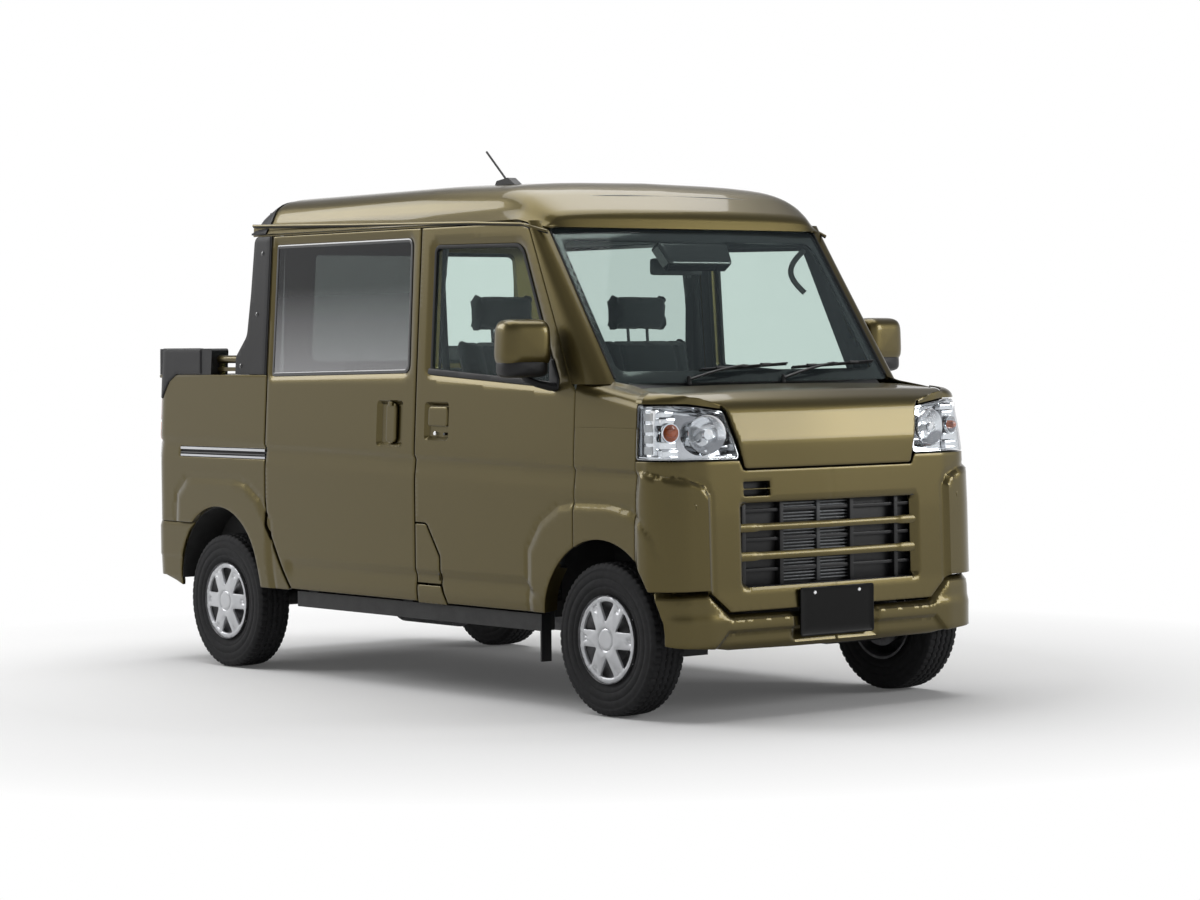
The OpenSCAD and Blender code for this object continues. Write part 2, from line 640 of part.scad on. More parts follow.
module cowl() {
    eye_w = 24;
    w = post_y - 110;
    glass_z = cowl_z + 22;
    color(BLACK) {
        // Tray between the lid and the glass, on top of the bulkhead
        side_prism([[cowl_front_x, cowl_z - 12], [screen_x(glass_z) - 8, glass_z], [screen_x(glass_z) - 30, glass_z],
            [screen_x(cowl_z) - 60, cowl_z - 19], [cowl_front_x, cowl_z - 19]], -w, w);
        block([bulkhead_x - floor_t, -housing_y, cowl_z - 40 + touch], [bulkhead_x, housing_y, cowl_z - 18]);
        // Brackets with the lid's hinge pins
        for (y = [-lid_hinge_y, lid_hinge_y]) {
            translate([lid_axis_x, y - 2 * eye_w, lid_axis_z]) rotate([-90, 0, 0]) cylinder(r = lid_pin_r, h = 4 * eye_w, $fn = round_fn);
            translate([lid_axis_x, y - eye_w, lid_axis_z]) rotate([-90, 0, 0]) cylinder(r = lid_eye_r, h = 2 * eye_w, $fn = round_fn);
            block([bulkhead_x + touch, y - eye_w, lid_axis_z - 22], [lid_axis_x + 4, y + eye_w, lid_axis_z - 6]);
            block([bulkhead_x - 8, y - eye_w, lid_axis_z - 3.4], [bulkhead_x + 2, y + eye_w, lid_axis_z + 10]);
            block([bulkhead_x + touch, y - eye_w, lid_axis_z - 10], [cowl_front_x + 4, y + eye_w, lid_axis_z]);
        }
    }
}

module wipers() {
    blade_l = 470;
    foot_x = screen_x(cowl_z) + 2;
    tray_z = cowl_z + 10;
    color(BLACK) for (y = [-300, 170]) {
        // Arm and blade lying along the foot of the glass, on a pivot through the tray
        translate([foot_x, y, tray_z + 8]) block([0, 0, 0], [10, blade_l, 12]);
        translate([foot_x + 5, y + 14, cowl_z + 2.2]) cylinder(r = 7, h = tray_z + 6 - cowl_z, $fn = round_fn);
    }
}

module front_fenders() {
    seam_x = door_front_x + panel_gap;
    lamp_x = nose_back_x - touch;
    color(PAINT) both_sides() difference() {
        union() {
            // Side between the door, the nose and the headlamp
            side_panel([
                [seam_x, 500], [seam_x, cowl_z - 18], [pillar_x(cowl_z) + panel_gap + 2, cowl_z - 10 - touch],
                [screen_low_x, cowl_z - 10 - touch], [lamp_x, lid_crest_z + 16], [lamp_x, 500]], skin_t, skin_t);
            // Shoulder between the side and the lid, over the headlamp
            intersection() {
                side_prism(rounded([
                    [front_x - 66, lid_crest_z - 18], [front_x - 130, lid_crest_z + 14, 60], [screen_low_x + 40, cowl_z - 12],
                    [screen_low_x + 40, cowl_z - 30], [front_x - 134, lid_crest_z - 6, 40],
                    [front_x - 80, lid_crest_z - 20.5]]), 642, side_y(cowl_z) - 2);
                translate([0, 0, 400]) linear_extrude(body_h) nose_plan(4, 50);
            }
        }
        side_prism(front_arch, half_w / 3, half_w + 1);
        nose_mass(lamp_low_z - 1, lid_crest_z - 21.7, 0, 10, 62);
    }
}

// Left front door; the right one is its mirror image
module front_door() {
    flange_t = 5;
    color(PAINT) difference() {
        union() {
            difference() {
                side_panel(front_door_outline, door_t, frame_t);
                side_prism(front_window_outline, half_w / 3, half_w + 1);
                side_prism(front_arch_clear, half_w / 3, half_w + 1);
                // Thin flange ahead of the hinge line
                side_band(hinge_x - 14, door_front_x + 1, 2 * door_t, 2 * door_t, flange_t);
                // Pocket for the outer handle
                block([door_rear_x + 57, half_w - 20, 945], [door_rear_x + 200, half_w + 1, 1075]);
            }
            for (z = hinge_levels) {
                translate([hinge_x, hinge_y, z + hinge_h]) cylinder(r = eye_r, h = hinge_h - 1, $fn = round_fn);
                block([hinge_x - 20, hinge_y - 6, z + hinge_h], [hinge_x, hinge_y + 6, z + 2 * hinge_h - 1]);
            }
            // Handle flap in its pocket, and the arm rest
            block([door_rear_x + 68, half_w - 22, 990], [door_rear_x + 190, half_w - 4, 1040]);
            block([door_rear_x + 110, half_w - door_t - 46, 860], [hinge_x - 180, half_w - door_t + 1, 900]);
        }
        for (z = hinge_levels) translate([hinge_x, hinge_y, z + hinge_h - 1]) cylinder(r = pin_r + pin_play, h = hinge_h + 2, $fn = round_fn);
    }
}

front_arch_clear = arch_points(front_axle_x - 10, axle_z + 22, front_arch_r + 1);

module front_door_left() {
    front_door();
}

module front_door_right() {
    right_side() front_door();
}

module door_glass() {
    color(GLASS) difference() {
        intersection() {
            side_band(door_rear_x, door_front_x, glass_t, glass_t, frame_t / 2);
            side_prism(front_window_outline, half_w / 3, half_w + 1);
        }
    }
}

module door_glass_left() {
    door_glass();
}

module door_glass_right() {
    right_side() door_glass();
}

module slide_door() {
    color(PAINT) {
        difference() {
            side_panel(slide_outline, door_t, frame_t);
            side_prism(slide_window_outline, half_w / 3, half_w + 1);
            side_prism(rear_arch, half_w / 3, half_w + 1);
            block([slide_front_x - 255, half_w - 22, 915], [slide_front_x - 85, half_w + 1, 1095]);
        }
        // Upright grab handle across its pocket
        block([slide_front_x - 182, half_w - 8, 914], [slide_front_x - 148, half_w - 2, 1096]);
    }
}

module slide_door_left() {
    slide_door();
}

module slide_door_right() {
    right_side() slide_door();
}

module slide_glass() {
    color(PRIVACY) both_sides() intersection() {
        side_band(slide_rear_x, slide_front_x, glass_t, glass_t, 6);
        side_prism(slide_window_outline, half_w / 3, half_w + 1);
    }
}

// Left door mirror on its arm at the front corner of the window
module mirror_shell() {
    x = front_axle_x - 288;
    y = half_w + 112;
    z = 1272;
    arm_z = belt_z - 65;
    arm_y = side_y(arm_z) + touch;
    color(PAINT) translate([x, y, z]) rotate([0, 0, 6]) cross_prism(rounded([
        [-94, -107, 30], [94, -107, 40], [94, 107, 55], [-94, 107, 45]]), -60, 56);
    color(BLACK) {
        block([x - 30, arm_y, arm_z], [x + 25, y + 20, arm_z + 20]);
        block([x - 30, y - 60, arm_z], [x + 25, y + 20, z - 93]);
    }
}

module mirror_left() {
    mirror_shell();
}

module mirror_right() {
    right_side() mirror_shell();
}

fuel_axis_x = door_rear_x + 141;
fuel_axis_y = half_w - 5;
fuel_pin_r = 2;
fuel_axis_z = 455;

// Outer panel in the notch of the left front door, the given thickness
module fuel_panel(t) {
    side_panel(rounded([
        [door_rear_x, 630], [door_rear_x + 66, 630, 30], [door_rear_x + 147, 513, 30],
        [door_rear_x + 147, lid_split_z], [door_rear_x, lid_split_z]]), t, t);
}

// Pin of the fuel lid on its leg from the back of the pocket
module fuel_pin() {
    leg_h = 20;
    translate([fuel_axis_x, fuel_axis_y, fuel_axis_z - 1.5 * leg_h]) cylinder(r = fuel_pin_r, h = 3 * leg_h, $fn = round_fn);
    block([fuel_axis_x - fuel_pin_r, half_w - door_t - 1, fuel_axis_z - leg_h / 2 + 1],
        [fuel_axis_x + fuel_pin_r, fuel_axis_y, fuel_axis_z + leg_h / 2 - 1]);
}

module fuel_lid() {
    knuckle_h = 20;
    knuckle_r = 4;
    color(PAINT) right_side() difference() {
        union() {
            fuel_panel(12);
            for (side = [-1, 1]) translate([fuel_axis_x, fuel_axis_y, fuel_axis_z + side * knuckle_h])
                cylinder(r = knuckle_r, h = knuckle_h, center = true, $fn = round_fn);
        }
        translate([fuel_axis_x, fuel_axis_y, fuel_axis_z])
            cylinder(r = fuel_pin_r + pin_play, h = 3 * knuckle_h + 2, center = true, $fn = round_fn);
        block([fuel_axis_x - 6, fuel_axis_y - 10, fuel_axis_z - knuckle_h / 2],
            [fuel_axis_x + 8, fuel_axis_y + fuel_pin_r + 0.5, fuel_axis_z + knuckle_h / 2]);
    }
}

module seat_profile(points, y, w) {
    side_prism(rounded(points), y - w / 2, y + w / 2);
}

module seats() {
    x = door_rear_x + 120;
    bench_x = wall_x + 20;
    color(CLOTH) {
        for (y = [-330, 330]) {
            seat_profile([[x, seat_z - 150 + touch, 20], [x + 500, seat_z - 150 + touch, 40], [x + 510, seat_z + 5, 50], [x + 60, seat_z - 30, 20],
                [x - 70, seat_z + 590, 40], [x - 150, seat_z + 580, 40], [x - 40, seat_z - 60, 40]], y, seat_w);
            seat_profile([[x - 80, seat_z + 560, 20], [x - 66, seat_z + 740, 36], [x - 150, seat_z + 750, 36],
                [x - 150, seat_z + 560, 20]], y, seat_w * 0.56);
        }
        seat_profile([[bench_x, seat_z - 150 + touch, 20], [bench_x + 440, seat_z - 150 + touch, 40], [bench_x + 450, seat_z - 10, 40],
            [bench_x + 110, seat_z - 30, 20], [bench_x + 50, seat_z + 480, 28], [bench_x, seat_z + 480, 10]], 0, 2 * (half_w - 130));
    }
}

dash_rear_x = front_axle_x - 330;
dash_w = half_w - 130 - touch;

module dashboard() {
    front = bulkhead_x - floor_t - touch;
    column_r = 36;
    color(TRIM) {
        difference() {
            side_prism(rounded([
                [front, cowl_z - 60, 0], [front - 80, cowl_z - 34, 60], [dash_rear_x + 60, cowl_z - 60, 50],
                [dash_rear_x, cowl_z - 110, 40], [dash_rear_x + 20, 880, 50], [dash_rear_x + 160, 760, 40],
                [front, 760, 0]]), -dash_w, dash_w);
            block([dash_rear_x - 1, -520, 700], [dash_rear_x + 130, -140, 860]);
        }
        // Steering column cover, ending at the wheel's boss
        translate(wheel_centre) rotate([0, wheel_tilt - 90, 0]) translate([0, 0, -230]) cylinder(r = column_r, h = 170 - touch, $fn = round_fn);
    }
}

wheel_tilt = 38;
wheel_centre = [dash_rear_x - 110, -330, 1010];
wheel_r = 185;

module steering_wheel() {
    rim_r = 14;
    color(BLACK) translate(wheel_centre) rotate([0, wheel_tilt - 90, 0]) {
        rotate_extrude($fn = round_fn) translate([wheel_r - rim_r, 0]) circle(r = rim_r, $fn = 24);
        cylinder(r = 62, h = 30, center = true, $fn = round_fn);
        for (a = [0, 120, 240]) rotate([0, 0, a]) translate([50, -20, -8]) cube([wheel_r - rim_r - 55, 40, 14]);
        translate([0, 0, -60]) cylinder(r = 30, h = 60, $fn = round_fn);
    }
}

rail_y = 345;

module chassis_frame() {
    under_bed_z = bed_floor_z - 34 - touch;
    posts = [bed_rear_x + 150, slide_rear_x - 110];
    beam_z0 = 325;
    color(BLACK) {
        both_sides() {
            block([bed_rear_x + 120, rail_y - 32, rail_z0], [front_x - 140, rail_y + 32, rail_z1]);
            // Uprights and outriggers under the bed
            for (x = posts) {
                block([x, rail_y - 30, rail_z1 - 1], [x + 60, rail_y + 30, under_bed_z]);
                block([x, rail_y, under_bed_z - 50], [x + 60, half_w - bed_side_t - 20, under_bed_z]);
            }
            // Outriggers to the sills
            for (x = [slide_rear_x + 260, door_rear_x - 30, front_axle_x - 440])
                block([x, rail_y, rail_z0 + 10], [x + 60, cabin_y - touch, rail_z1]);
        }
        for (x = [slide_rear_x - 60, door_rear_x - 130, front_axle_x - 410, front_axle_x + 190])
            block([x, -rail_y, beam_z0], [x + 50, rail_y, rail_z1 - 10]);
        block([posts[0], -rail_y, 520], [posts[0] + 50, rail_y, 570]);
        // Towing eye under the tail of each rail
        both_sides() difference() {
            block([bed_rear_x + 125, rail_y - tow_eye_t / 2, rail_z0 - 46], [bed_rear_x + 175, rail_y + tow_eye_t / 2, rail_z0 + 1]);
            translate([bed_rear_x + 150, rail_y, rail_z0 - 22]) rotate([90, 0, 0])
                cylinder(r = tow_eye_r, h = 2 * tow_eye_t, center = true, $fn = round_fn);
        }
    }
}

rail_z0 = 310;
tow_eye_t = 14;
tow_eye_r = 13;
rail_z1 = floor_z - floor_t - touch;
engine_rear_x = door_rear_x + 100;

module engine() {
    color(STEEL) block([engine_rear_x, -230, 215], [front_axle_x - 610, 230, rail_z1]);
}

// Round bar between two points
module bar(from, to, r) {
    v = to - from;
    translate(from) rotate([0, acos(v.z / norm(v)), atan2(v.y, v.x)]) cylinder(r = r, h = norm(v), $fn = round_fn);
}

module exhaust() {
    pipe_r = 19;
    y = -200;
    low_z = 258;
    high_z = 345;
    rise = [rear_axle_x + 260, rear_axle_x + 130];
    color(STEEL) {
        bar([engine_rear_x - touch, y, low_z], [rise[0], y, low_z], pipe_r);
        bar([slide_rear_x + 560, y, low_z], [slide_rear_x + 200, y, low_z], 72);
        bar([rise[0] + 8, y, low_z - 2], [rise[1] - 8, y, high_z + 2], pipe_r);
        bar([rise[1], y, high_z], [bed_rear_x + 90, y, high_z], pipe_r);
    }
}

strut_r = 22;
strut_top_z = housing_top_z - 8 - touch;
hub_r = 52;

module front_suspension() {
    arm_z = 190;
    arm_t = 26;
    color(BLACK) {
        // Cross member and lower arms
        block([front_axle_x - 60, -rail_y + 40, 215], [front_axle_x + 60, rail_y - 40, rail_z0 - touch]);
        both_sides() {
            block([front_axle_x - 45, rail_y - 60, 215], [front_axle_x + 45, rail_y + 20, rail_z0 - touch]);
            block([front_axle_x - 30, rail_y - 60, arm_z], [front_axle_x + 30, kingpin_y, arm_z + arm_t]);
            translate([front_axle_x, kingpin_y, arm_z]) cylinder(r = 24, h = arm_t, $fn = round_fn);
        }
    }
}

// Left steering knuckle: strut, upright and stub axle
module knuckle() {
    low_z = 190 + 26 + touch;
    spring_z = tyre_d + 16;
    color(STEEL) {
        translate([front_axle_x, kingpin_y, low_z]) cylinder(r = strut_r, h = strut_top_z - low_z, $fn = round_fn);
        translate([front_axle_x, kingpin_y, spring_z]) cylinder(r = 42, h = strut_top_z - 8 - spring_z, $fn = round_fn);
        block([front_axle_x - 22, kingpin_y - 18, axle_z - 40], [front_axle_x + 22, kingpin_y + 20, axle_z + 60]);
        translate([front_axle_x, kingpin_y, axle_z]) rotate([-90, 0, 0]) cylinder(r = stub_r, h = kingpin_offset + 15, $fn = round_fn);
        translate([front_axle_x, wheel_y - 70, axle_z]) rotate([-90, 0, 0]) cylinder(r = 105, h = 12, $fn = round_fn);
    }
}

module knuckle_left() {
    knuckle();
}

module knuckle_right() {
    right_side() knuckle();
}

module rear_axle() {
    drum_y = wheel_y - 74;
    shaft_z = axle_z + 20;
    color(BLACK) {
        translate([rear_axle_x, -drum_y, axle_z]) rotate([-90, 0, 0]) cylinder(r = 34, h = 2 * drum_y, $fn = round_fn);
        translate([rear_axle_x, 0, axle_z]) rotate([0, 90, 0]) cylinder(r = 95, h = 150, center = true, $fn = round_fn);
        translate([rear_axle_x + 60, 0, shaft_z]) rotate([0, 90, 0]) cylinder(r = 28, h = engine_rear_x - touch - rear_axle_x - 60, $fn = round_fn);
        both_sides() {
            translate([rear_axle_x, drum_y, axle_z]) rotate([-90, 0, 0]) cylinder(r = 98, h = 26, $fn = round_fn);
            translate([rear_axle_x, drum_y + 14, axle_z]) rotate([-90, 0, 0]) cylinder(r = stub_r, h = 75, $fn = round_fn);
            // Spring seat up to the frame rail
            block([rear_axle_x - 40, rail_y - 30, axle_z], [rear_axle_x + 40, rail_y + 30, rail_z0 - touch]);
        }
    }
}

// Wheel with its cover, outer face towards +Y
module wheel() {
    spoke_n = 6;
    rim_r = rim_d / 2;
    well_r = rim_r - 18;
    w = tyre_w * 0.72;
    bore_r = stub_r + pin_play;
    color(METAL) difference() {
        union() {
            rotate([-90, 0, 0]) rotate_extrude($fn = 96) polygon([
                [well_r, -w / 2], [rim_r + 12, -w / 2], [rim_r + 12, -w / 2 + 6], [rim_r, -w / 2 + 12],
                [rim_r, w / 2 - 12], [rim_r + 12, w / 2 - 6], [rim_r + 12, w / 2], [well_r, w / 2]]);
            translate([0, w / 2 - 30, 0]) rotate([-90, 0, 0]) cylinder(r = well_r + 2, h = 16, $fn = 96);
            translate([0, w / 2 - 16, 0]) rotate([-90, 0, 0]) cylinder(r = 37, h = 18, $fn = round_fn);
            translate([0, -12, 0]) rotate([-90, 0, 0]) cylinder(r = hub_r, h = w / 2 + 2, $fn = round_fn);
        }
        for (i = [0:spoke_n - 1]) rotate([0, i * 360 / spoke_n, 0])
            side_prism(rounded([[-30, 66, 8], [30, 66, 8], [46, 122, 14], [-46, 122, 14]]), 0, tyre_w);
        translate([0, -20, 0]) rotate([-90, 0, 0]) cylinder(r = bore_r, h = 20 + w / 2 - 30, $fn = round_fn);
    }
}

module tyre() {
    r = tyre_d / 2;
    half = tyre_w / 2;
    seat_r = rim_d / 2 + touch;
    flange_r = rim_d / 2 + 13;
    bead = tyre_w * 0.36 - 12 - touch;
    upper = [[seat_r, bead], [flange_r, bead], [flange_r, half * 0.82], [seat_r + 50, half], [r - 34, half * 0.97],
        [r - 8, half * 0.8], [r, half * 0.6]];
    color(BLACK) rotate([-90, 0, 0]) rotate_extrude($fn = 96)
        polygon(concat(upper, [for (i = [len(upper) - 1:-1:0]) [upper[i][0], -upper[i][1]]]));
}

module place(x, side) {
    translate([x, side * wheel_y, axle_z]) mirror([0, side < 0 ? 1 : 0, 0]) children();
}

module wheel_front_right() {
    place(front_axle_x, -1) wheel();
}

module wheel_front_left() {
    place(front_axle_x, 1) wheel();
}

module wheel_rear_right() {
    place(rear_axle_x, -1) wheel();
}

module wheel_rear_left() {
    place(rear_axle_x, 1) wheel();
}

module tyre_front_right() {
    place(front_axle_x, -1) tyre();
}

module tyre_front_left() {
    place(front_axle_x, 1) tyre();
}

module tyre_rear_right() {
    place(rear_axle_x, -1) tyre();
}

module tyre_rear_left() {
    place(rear_axle_x, 1) tyre();
}

module rear_bumper_plan(inset) {
    x = rear_x + inset;
    y = half_w - inset;
    polygon(rounded([[bed_rear_x + 160, -y], [bed_rear_x + 160, y], [x, y, 95], [x, -y, 95]]));
}

module rear_bumper() {
    z0 = 330;
    z1 = rear_bumper_top_z;
    color(PAINT) {
        difference() {
            translate([0, 0, z0]) linear_extrude(z1 - z0) rear_bumper_plan(0);
            translate([0, 0, z0 - 1]) linear_extrude(z1 - z0 - skin_t + 1) rear_bumper_plan(skin_t);
            translate([0, 0, z1 - skin_t - 1]) linear_extrude(skin_t + 2) rear_bumper_plan(skin_t + 40);
            side_prism(rear_arch, -half_w - 1, half_w + 1);
            // Recess of the rear plate
            block([rear_x - 1, -plate_w / 2 - 3, rear_plate_z - plate_h / 2 - 3],
                [rear_x + plate_t + touch, plate_w / 2 + 3, rear_plate_z + plate_h / 2 + 3]);
            side_prism([[rear_x - 1, z0 - 1], [rear_x - 1, z0 + 110], [bed_rear_x + 160, z0 - 20], [bed_rear_x + 160, z0 - 21]],
                -half_w - 1, half_w + 1);
        }
        for (y = [-rail_y, rail_y]) block([rear_x + skin_t - 1, y - 25, rail_z0 + 40], [bed_rear_x + 120 - touch, y + 25, rail_z1 - 4]);
    }
}

module rear_lamps() {
    color("#9a1f1c") both_sides() intersection() {
        rear_lamp_zone(0);
        bed_plan(0);
    }
}

plate_w = 350;
plate_h = 172;
plate_t = 4;
plate_y = 0;
plate_z = 354;
plate_pitch = 210;
plate_hole_r = 3.5;
rear_plate_z = 470;

module number_plates() {
    color(BLACK) {
        difference() {
            block([front_x - plate_t, plate_y - plate_w / 2, plate_z - plate_h / 2],
                [front_x, plate_y + plate_w / 2, plate_z + plate_h / 2]);
            plate_holes(front_x);
        }
        block([rear_x, -plate_w / 2, rear_plate_z - plate_h / 2], [rear_x + plate_t, plate_w / 2, rear_plate_z + plate_h / 2]);
    }
}

// The two bolt holes of the front plate, up to station x
module plate_holes(x) {
    for (side = [-1, 1]) translate([x - 60, plate_y + side * plate_pitch / 2, plate_z])
        rotate([0, 90, 0]) cylinder(r = plate_hole_r, h = 61, $fn = round_fn);
}

module mud_flaps() {
    flap_x = sill_front_x + touch;
    color(BLACK) both_sides() block([flap_x, cabin_y + 22, 165], [flap_x + 8, half_w - 26, door_low_z - panel_gap]);
}

module antenna() {
    mast_l = 165;
    base_y = -450;
    crown_w = side_y(drip_z) - 150;
    base_z = body_h - 14 * pow(base_y / crown_w, 2) + 1.2;
    color(BLACK) translate([front_axle_x - 890, base_y, base_z]) {
        side_prism(rounded([[-60, 0], [-50, 16, 8], [20, 26, 12], [60, 0]]), -18, 18);
        translate([-10, 0, 18]) rotate([0, -48, 0]) cylinder(r = 4, h = mast_l, $fn = 24);
    }
}

floor_pan();
cab_frame();
roof();
back_wall();
rear_window();
bed_floor();
bed_sides();
tailgate();
bed_rails();
pillar_covers();
gate_caps();
nose_panel();
front_lid();
front_bumper();
grille();
headlamps();
windscreen();
cowl();
wipers();
front_fenders();
front_door_right();
front_door_left();
door_glass_right();
door_glass_left();
slide_door_right();
slide_door_left();
slide_glass();
mirror_right();
mirror_left();
fuel_lid();
seats();
dashboard();
steering_wheel();
chassis_frame();
engine();
exhaust();
front_suspension();
knuckle_right();
knuckle_left();
rear_axle();
wheel_front_right();
wheel_front_left();
wheel_rear_right();
wheel_rear_left();
tyre_front_right();
tyre_front_left();
tyre_rear_right();
tyre_rear_left();
rear_bumper();
rear_lamps();
number_plates();
mud_flaps();
antenna();
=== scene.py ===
"""Looks of the double-cab kei truck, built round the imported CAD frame. Helpers take millimetres."""
import math
from collections import Counter

import bmesh
import bpy
import numpy as np
from mathutils import Matrix, Vector
from mathutils.geometry import delaunay_2d_cdt


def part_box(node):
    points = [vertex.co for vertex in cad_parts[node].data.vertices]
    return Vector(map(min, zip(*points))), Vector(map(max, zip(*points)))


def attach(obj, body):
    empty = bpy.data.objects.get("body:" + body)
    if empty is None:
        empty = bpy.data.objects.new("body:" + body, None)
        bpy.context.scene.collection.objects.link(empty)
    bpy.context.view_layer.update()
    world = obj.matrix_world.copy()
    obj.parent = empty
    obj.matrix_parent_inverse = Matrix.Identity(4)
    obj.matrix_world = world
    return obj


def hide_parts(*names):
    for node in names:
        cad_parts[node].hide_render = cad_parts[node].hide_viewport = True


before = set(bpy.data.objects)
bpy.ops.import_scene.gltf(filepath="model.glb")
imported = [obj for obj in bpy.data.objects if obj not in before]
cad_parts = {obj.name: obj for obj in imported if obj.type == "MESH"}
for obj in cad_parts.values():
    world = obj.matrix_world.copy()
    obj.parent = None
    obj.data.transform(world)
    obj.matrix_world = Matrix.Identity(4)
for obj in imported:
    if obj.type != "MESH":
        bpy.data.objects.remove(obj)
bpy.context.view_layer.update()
MM = 0.001
HALF_W = 737.5
FRONT_AXLE, REAR_AXLE, AXLE_Z, WHEEL_Y = 1300.0, -1150.0, 268.5, 653.0
ROUGH_VAR = 0.08  # how far a finish's roughness wanders
PAINTED_REFLECTION_SPAN = (1.15, 1.52)  # heights in metres over which the slide panes' painted reflection, pale at the bottom, darkens into the film towards the top
SEAT_Y = -330  # middle of the driver's seat and of the steering column
FLOOR_FADE = (2.1, 3.6)  # distances in metres between which the seen floor turns to white


# ---------------------------------------------------------------- camera
def make_camera():
    yaw, pitch, roll = 2.4664, -0.0315, -0.0096
    ahead = Vector((math.cos(pitch) * math.cos(yaw), math.cos(pitch) * math.sin(yaw), math.sin(pitch)))
    right = ahead.cross(Vector((0, 0, 1))).normalized()
    up = right.cross(ahead)
    right, up = (right * math.cos(roll) + up * math.sin(roll), up * math.cos(roll) - right * math.sin(roll))
    data = bpy.data.cameras.new("camera")
    data.sensor_width, data.lens = 36.0, 97.79
    data.shift_x, data.shift_y = -0.0006, -0.0031
    data.clip_end = 200
    cam = bpy.data.objects.new("camera", data)
    bpy.context.scene.collection.objects.link(cam)
    cam.matrix_world = Matrix((
        (right.x, up.x, -ahead.x, 10.057), (right.y, up.y, -ahead.y, -7.749),
        (right.z, up.z, -ahead.z, 1.291), (0, 0, 0, 1)))
    bpy.context.scene.camera = cam


make_camera()


# ---------------------------------------------------------------- materials
def fill(nt, n, inputs):
    """Gives a node's inputs their values, or links them to sockets."""
    for k, v in inputs.items():
        if isinstance(v, bpy.types.NodeSocket):
            nt.links.new(v, n.inputs[k])
        else:
            n.inputs[k].default_value = v


def add_node(nt, kind, inputs=None, **props):
    n = nt.nodes.new("ShaderNode" + kind)
    for k, v in props.items():
        setattr(n, k, v)
    fill(nt, n, inputs or {})
    return n


def new_material(name):
    m = bpy.data.materials.new(name)
    m.use_nodes = True
    nt = m.node_tree
    return m, nt, nt.nodes["Principled BSDF"], nt.nodes["Material Output"]


def spot(nt, space="Object"):
    return add_node(nt, "TexCoord").outputs[space]


def spot_z(nt, space="Object"):
    return add_node(nt, "SeparateXYZ", {"Vector": spot(nt, space)}).outputs["Z"]


def noise(nt, scale, detail=2.0):
    return add_node(nt, "TexNoise", {"Vector": spot(nt), "Scale": scale, "Detail": detail}).outputs["Fac"]


def ramp(nt, fac, low, high, a=0.35, b=0.65):
    r = add_node(nt, "ValToRGB", {"Fac": fac})
    for e, position, color in zip(r.color_ramp.elements, (a, b), (low, high)):
        e.position, e.color = position, (*color, 1)
    return r.outputs["Color"]


def spread(nt, value, low, high, span=(0.0, 1.0)):
    """Maps a span of values to low..high."""
    return add_node(nt, "MapRange", {"Value": value, "From Min": span[0], "From Max": span[1],
                                     "To Min": low, "To Max": high}).outputs["Result"]


def combine(nt, operation, a, b):
    return add_node(nt, "Math", {0: a, 1: b}, operation=operation).outputs[0]


def mix(nt, fac, a, b):
    return add_node(nt, "MixShader", {"Fac": fac, 1: a, 2: b}).outputs[0]


def bump(nt, level, strength, distance):
    return add_node(nt, "Bump",
                    {"Strength": strength, "Distance": distance, "Height": level}).outputs["Normal"]


def shown(nt):
    """1 for a ray that shows the background: from the camera, off gloss or through glass."""
    path = add_node(nt, "LightPath").outputs
    seen = combine(nt, "MAXIMUM", path["Is Camera Ray"], path["Is Glossy Ray"])
    return combine(nt, "MAXIMUM", seen, path["Is Transmission Ray"])


def plain(name, color, rough, metal=0.0, tone=0.12, tone_scale=6.0, grain=0.0, grain_scale=900.0, coat=0.0,
          spec=0.5):
    """A solid finish with uneven tone and roughness, and a fine grain."""
    m, nt, p, _ = new_material(name)
    c = np.array(color)
    fill(nt, p, {
        "Base Color": ramp(nt, noise(nt, tone_scale, 5), c * (1 - tone), np.minimum(c * (1 + tone), 1)),
        "Roughness": spread(nt, noise(nt, tone_scale * 4, 4), max(rough - ROUGH_VAR, 0.02),
                            rough + ROUGH_VAR),
        "Metallic": metal, "Coat Weight": coat, "Specular IOR Level": spec})
    if grain:
        fill(nt, p, {"Normal": bump(nt, noise(nt, grain_scale), grain, 0.0006)})
    return m


def paint_material(name):
    """Olive metallic base with fine flakes under a smooth clear coat."""
    m, nt, p, _ = new_material(name)
    flakes = add_node(nt, "TexVoronoi", {"Vector": spot(nt), "Scale": 1600}).outputs["Distance"]
    fill(nt, p, {
        "Base Color": ramp(nt, flakes, (0.112, 0.089, 0.032), (0.081, 0.064, 0.023), 0.1, 0.7),
        "Roughness": spread(nt, noise(nt, 2.2, 3), 0.31, 0.36),
        "Normal": bump(nt, flakes, 0.08, 0.0002),
        "Metallic": 0.9, "Specular IOR Level": 0.25,
        "Coat Weight": 0.6, "Coat IOR": 1.3, "Coat Roughness": 0.04})
    return m


def glass_material(name, tint, body_color, cover, rough=0.02, painted_reflection=None, spec=0.6):
    """Pane that tints what is behind it, with a smooth reflecting surface over it."""
    m, nt, p, out = new_material(name)
    fill(nt, p, {
        "Base Color": ramp(nt, noise(nt, 1.5), [c * 0.9 for c in body_color], body_color),
        "Roughness": spread(nt, noise(nt, 5), rough, rough + 0.01), "Specular IOR Level": spec})
    clear = add_node(nt, "BsdfTransparent", {"Color": (*tint, 1)}).outputs["BSDF"]
    facing = add_node(nt, "LayerWeight", {"Blend": 0.5}).outputs["Facing"]
    amount = spread(nt, combine(nt, "POWER", facing, 4.0), cover, 1.0)
    if painted_reflection:
        # painted reflection: a pale base colour low on the pane that darkens towards the top
        grade = spread(nt, spot_z(nt), 0.0, 1.0, PAINTED_REFLECTION_SPAN)
        fill(nt, p, {"Base Color": ramp(nt, grade, painted_reflection, body_color, 0.0, 1.0)})
        # the film hides the cabin from outside only
        behind = add_node(nt, "NewGeometry").outputs["Backfacing"]
        amount = combine(nt, "MULTIPLY", amount, spread(nt, behind, 1.0, 0.0))
    fill(nt, out, {"Surface": mix(nt, amount, clear, p.outputs["BSDF"])})
    return m


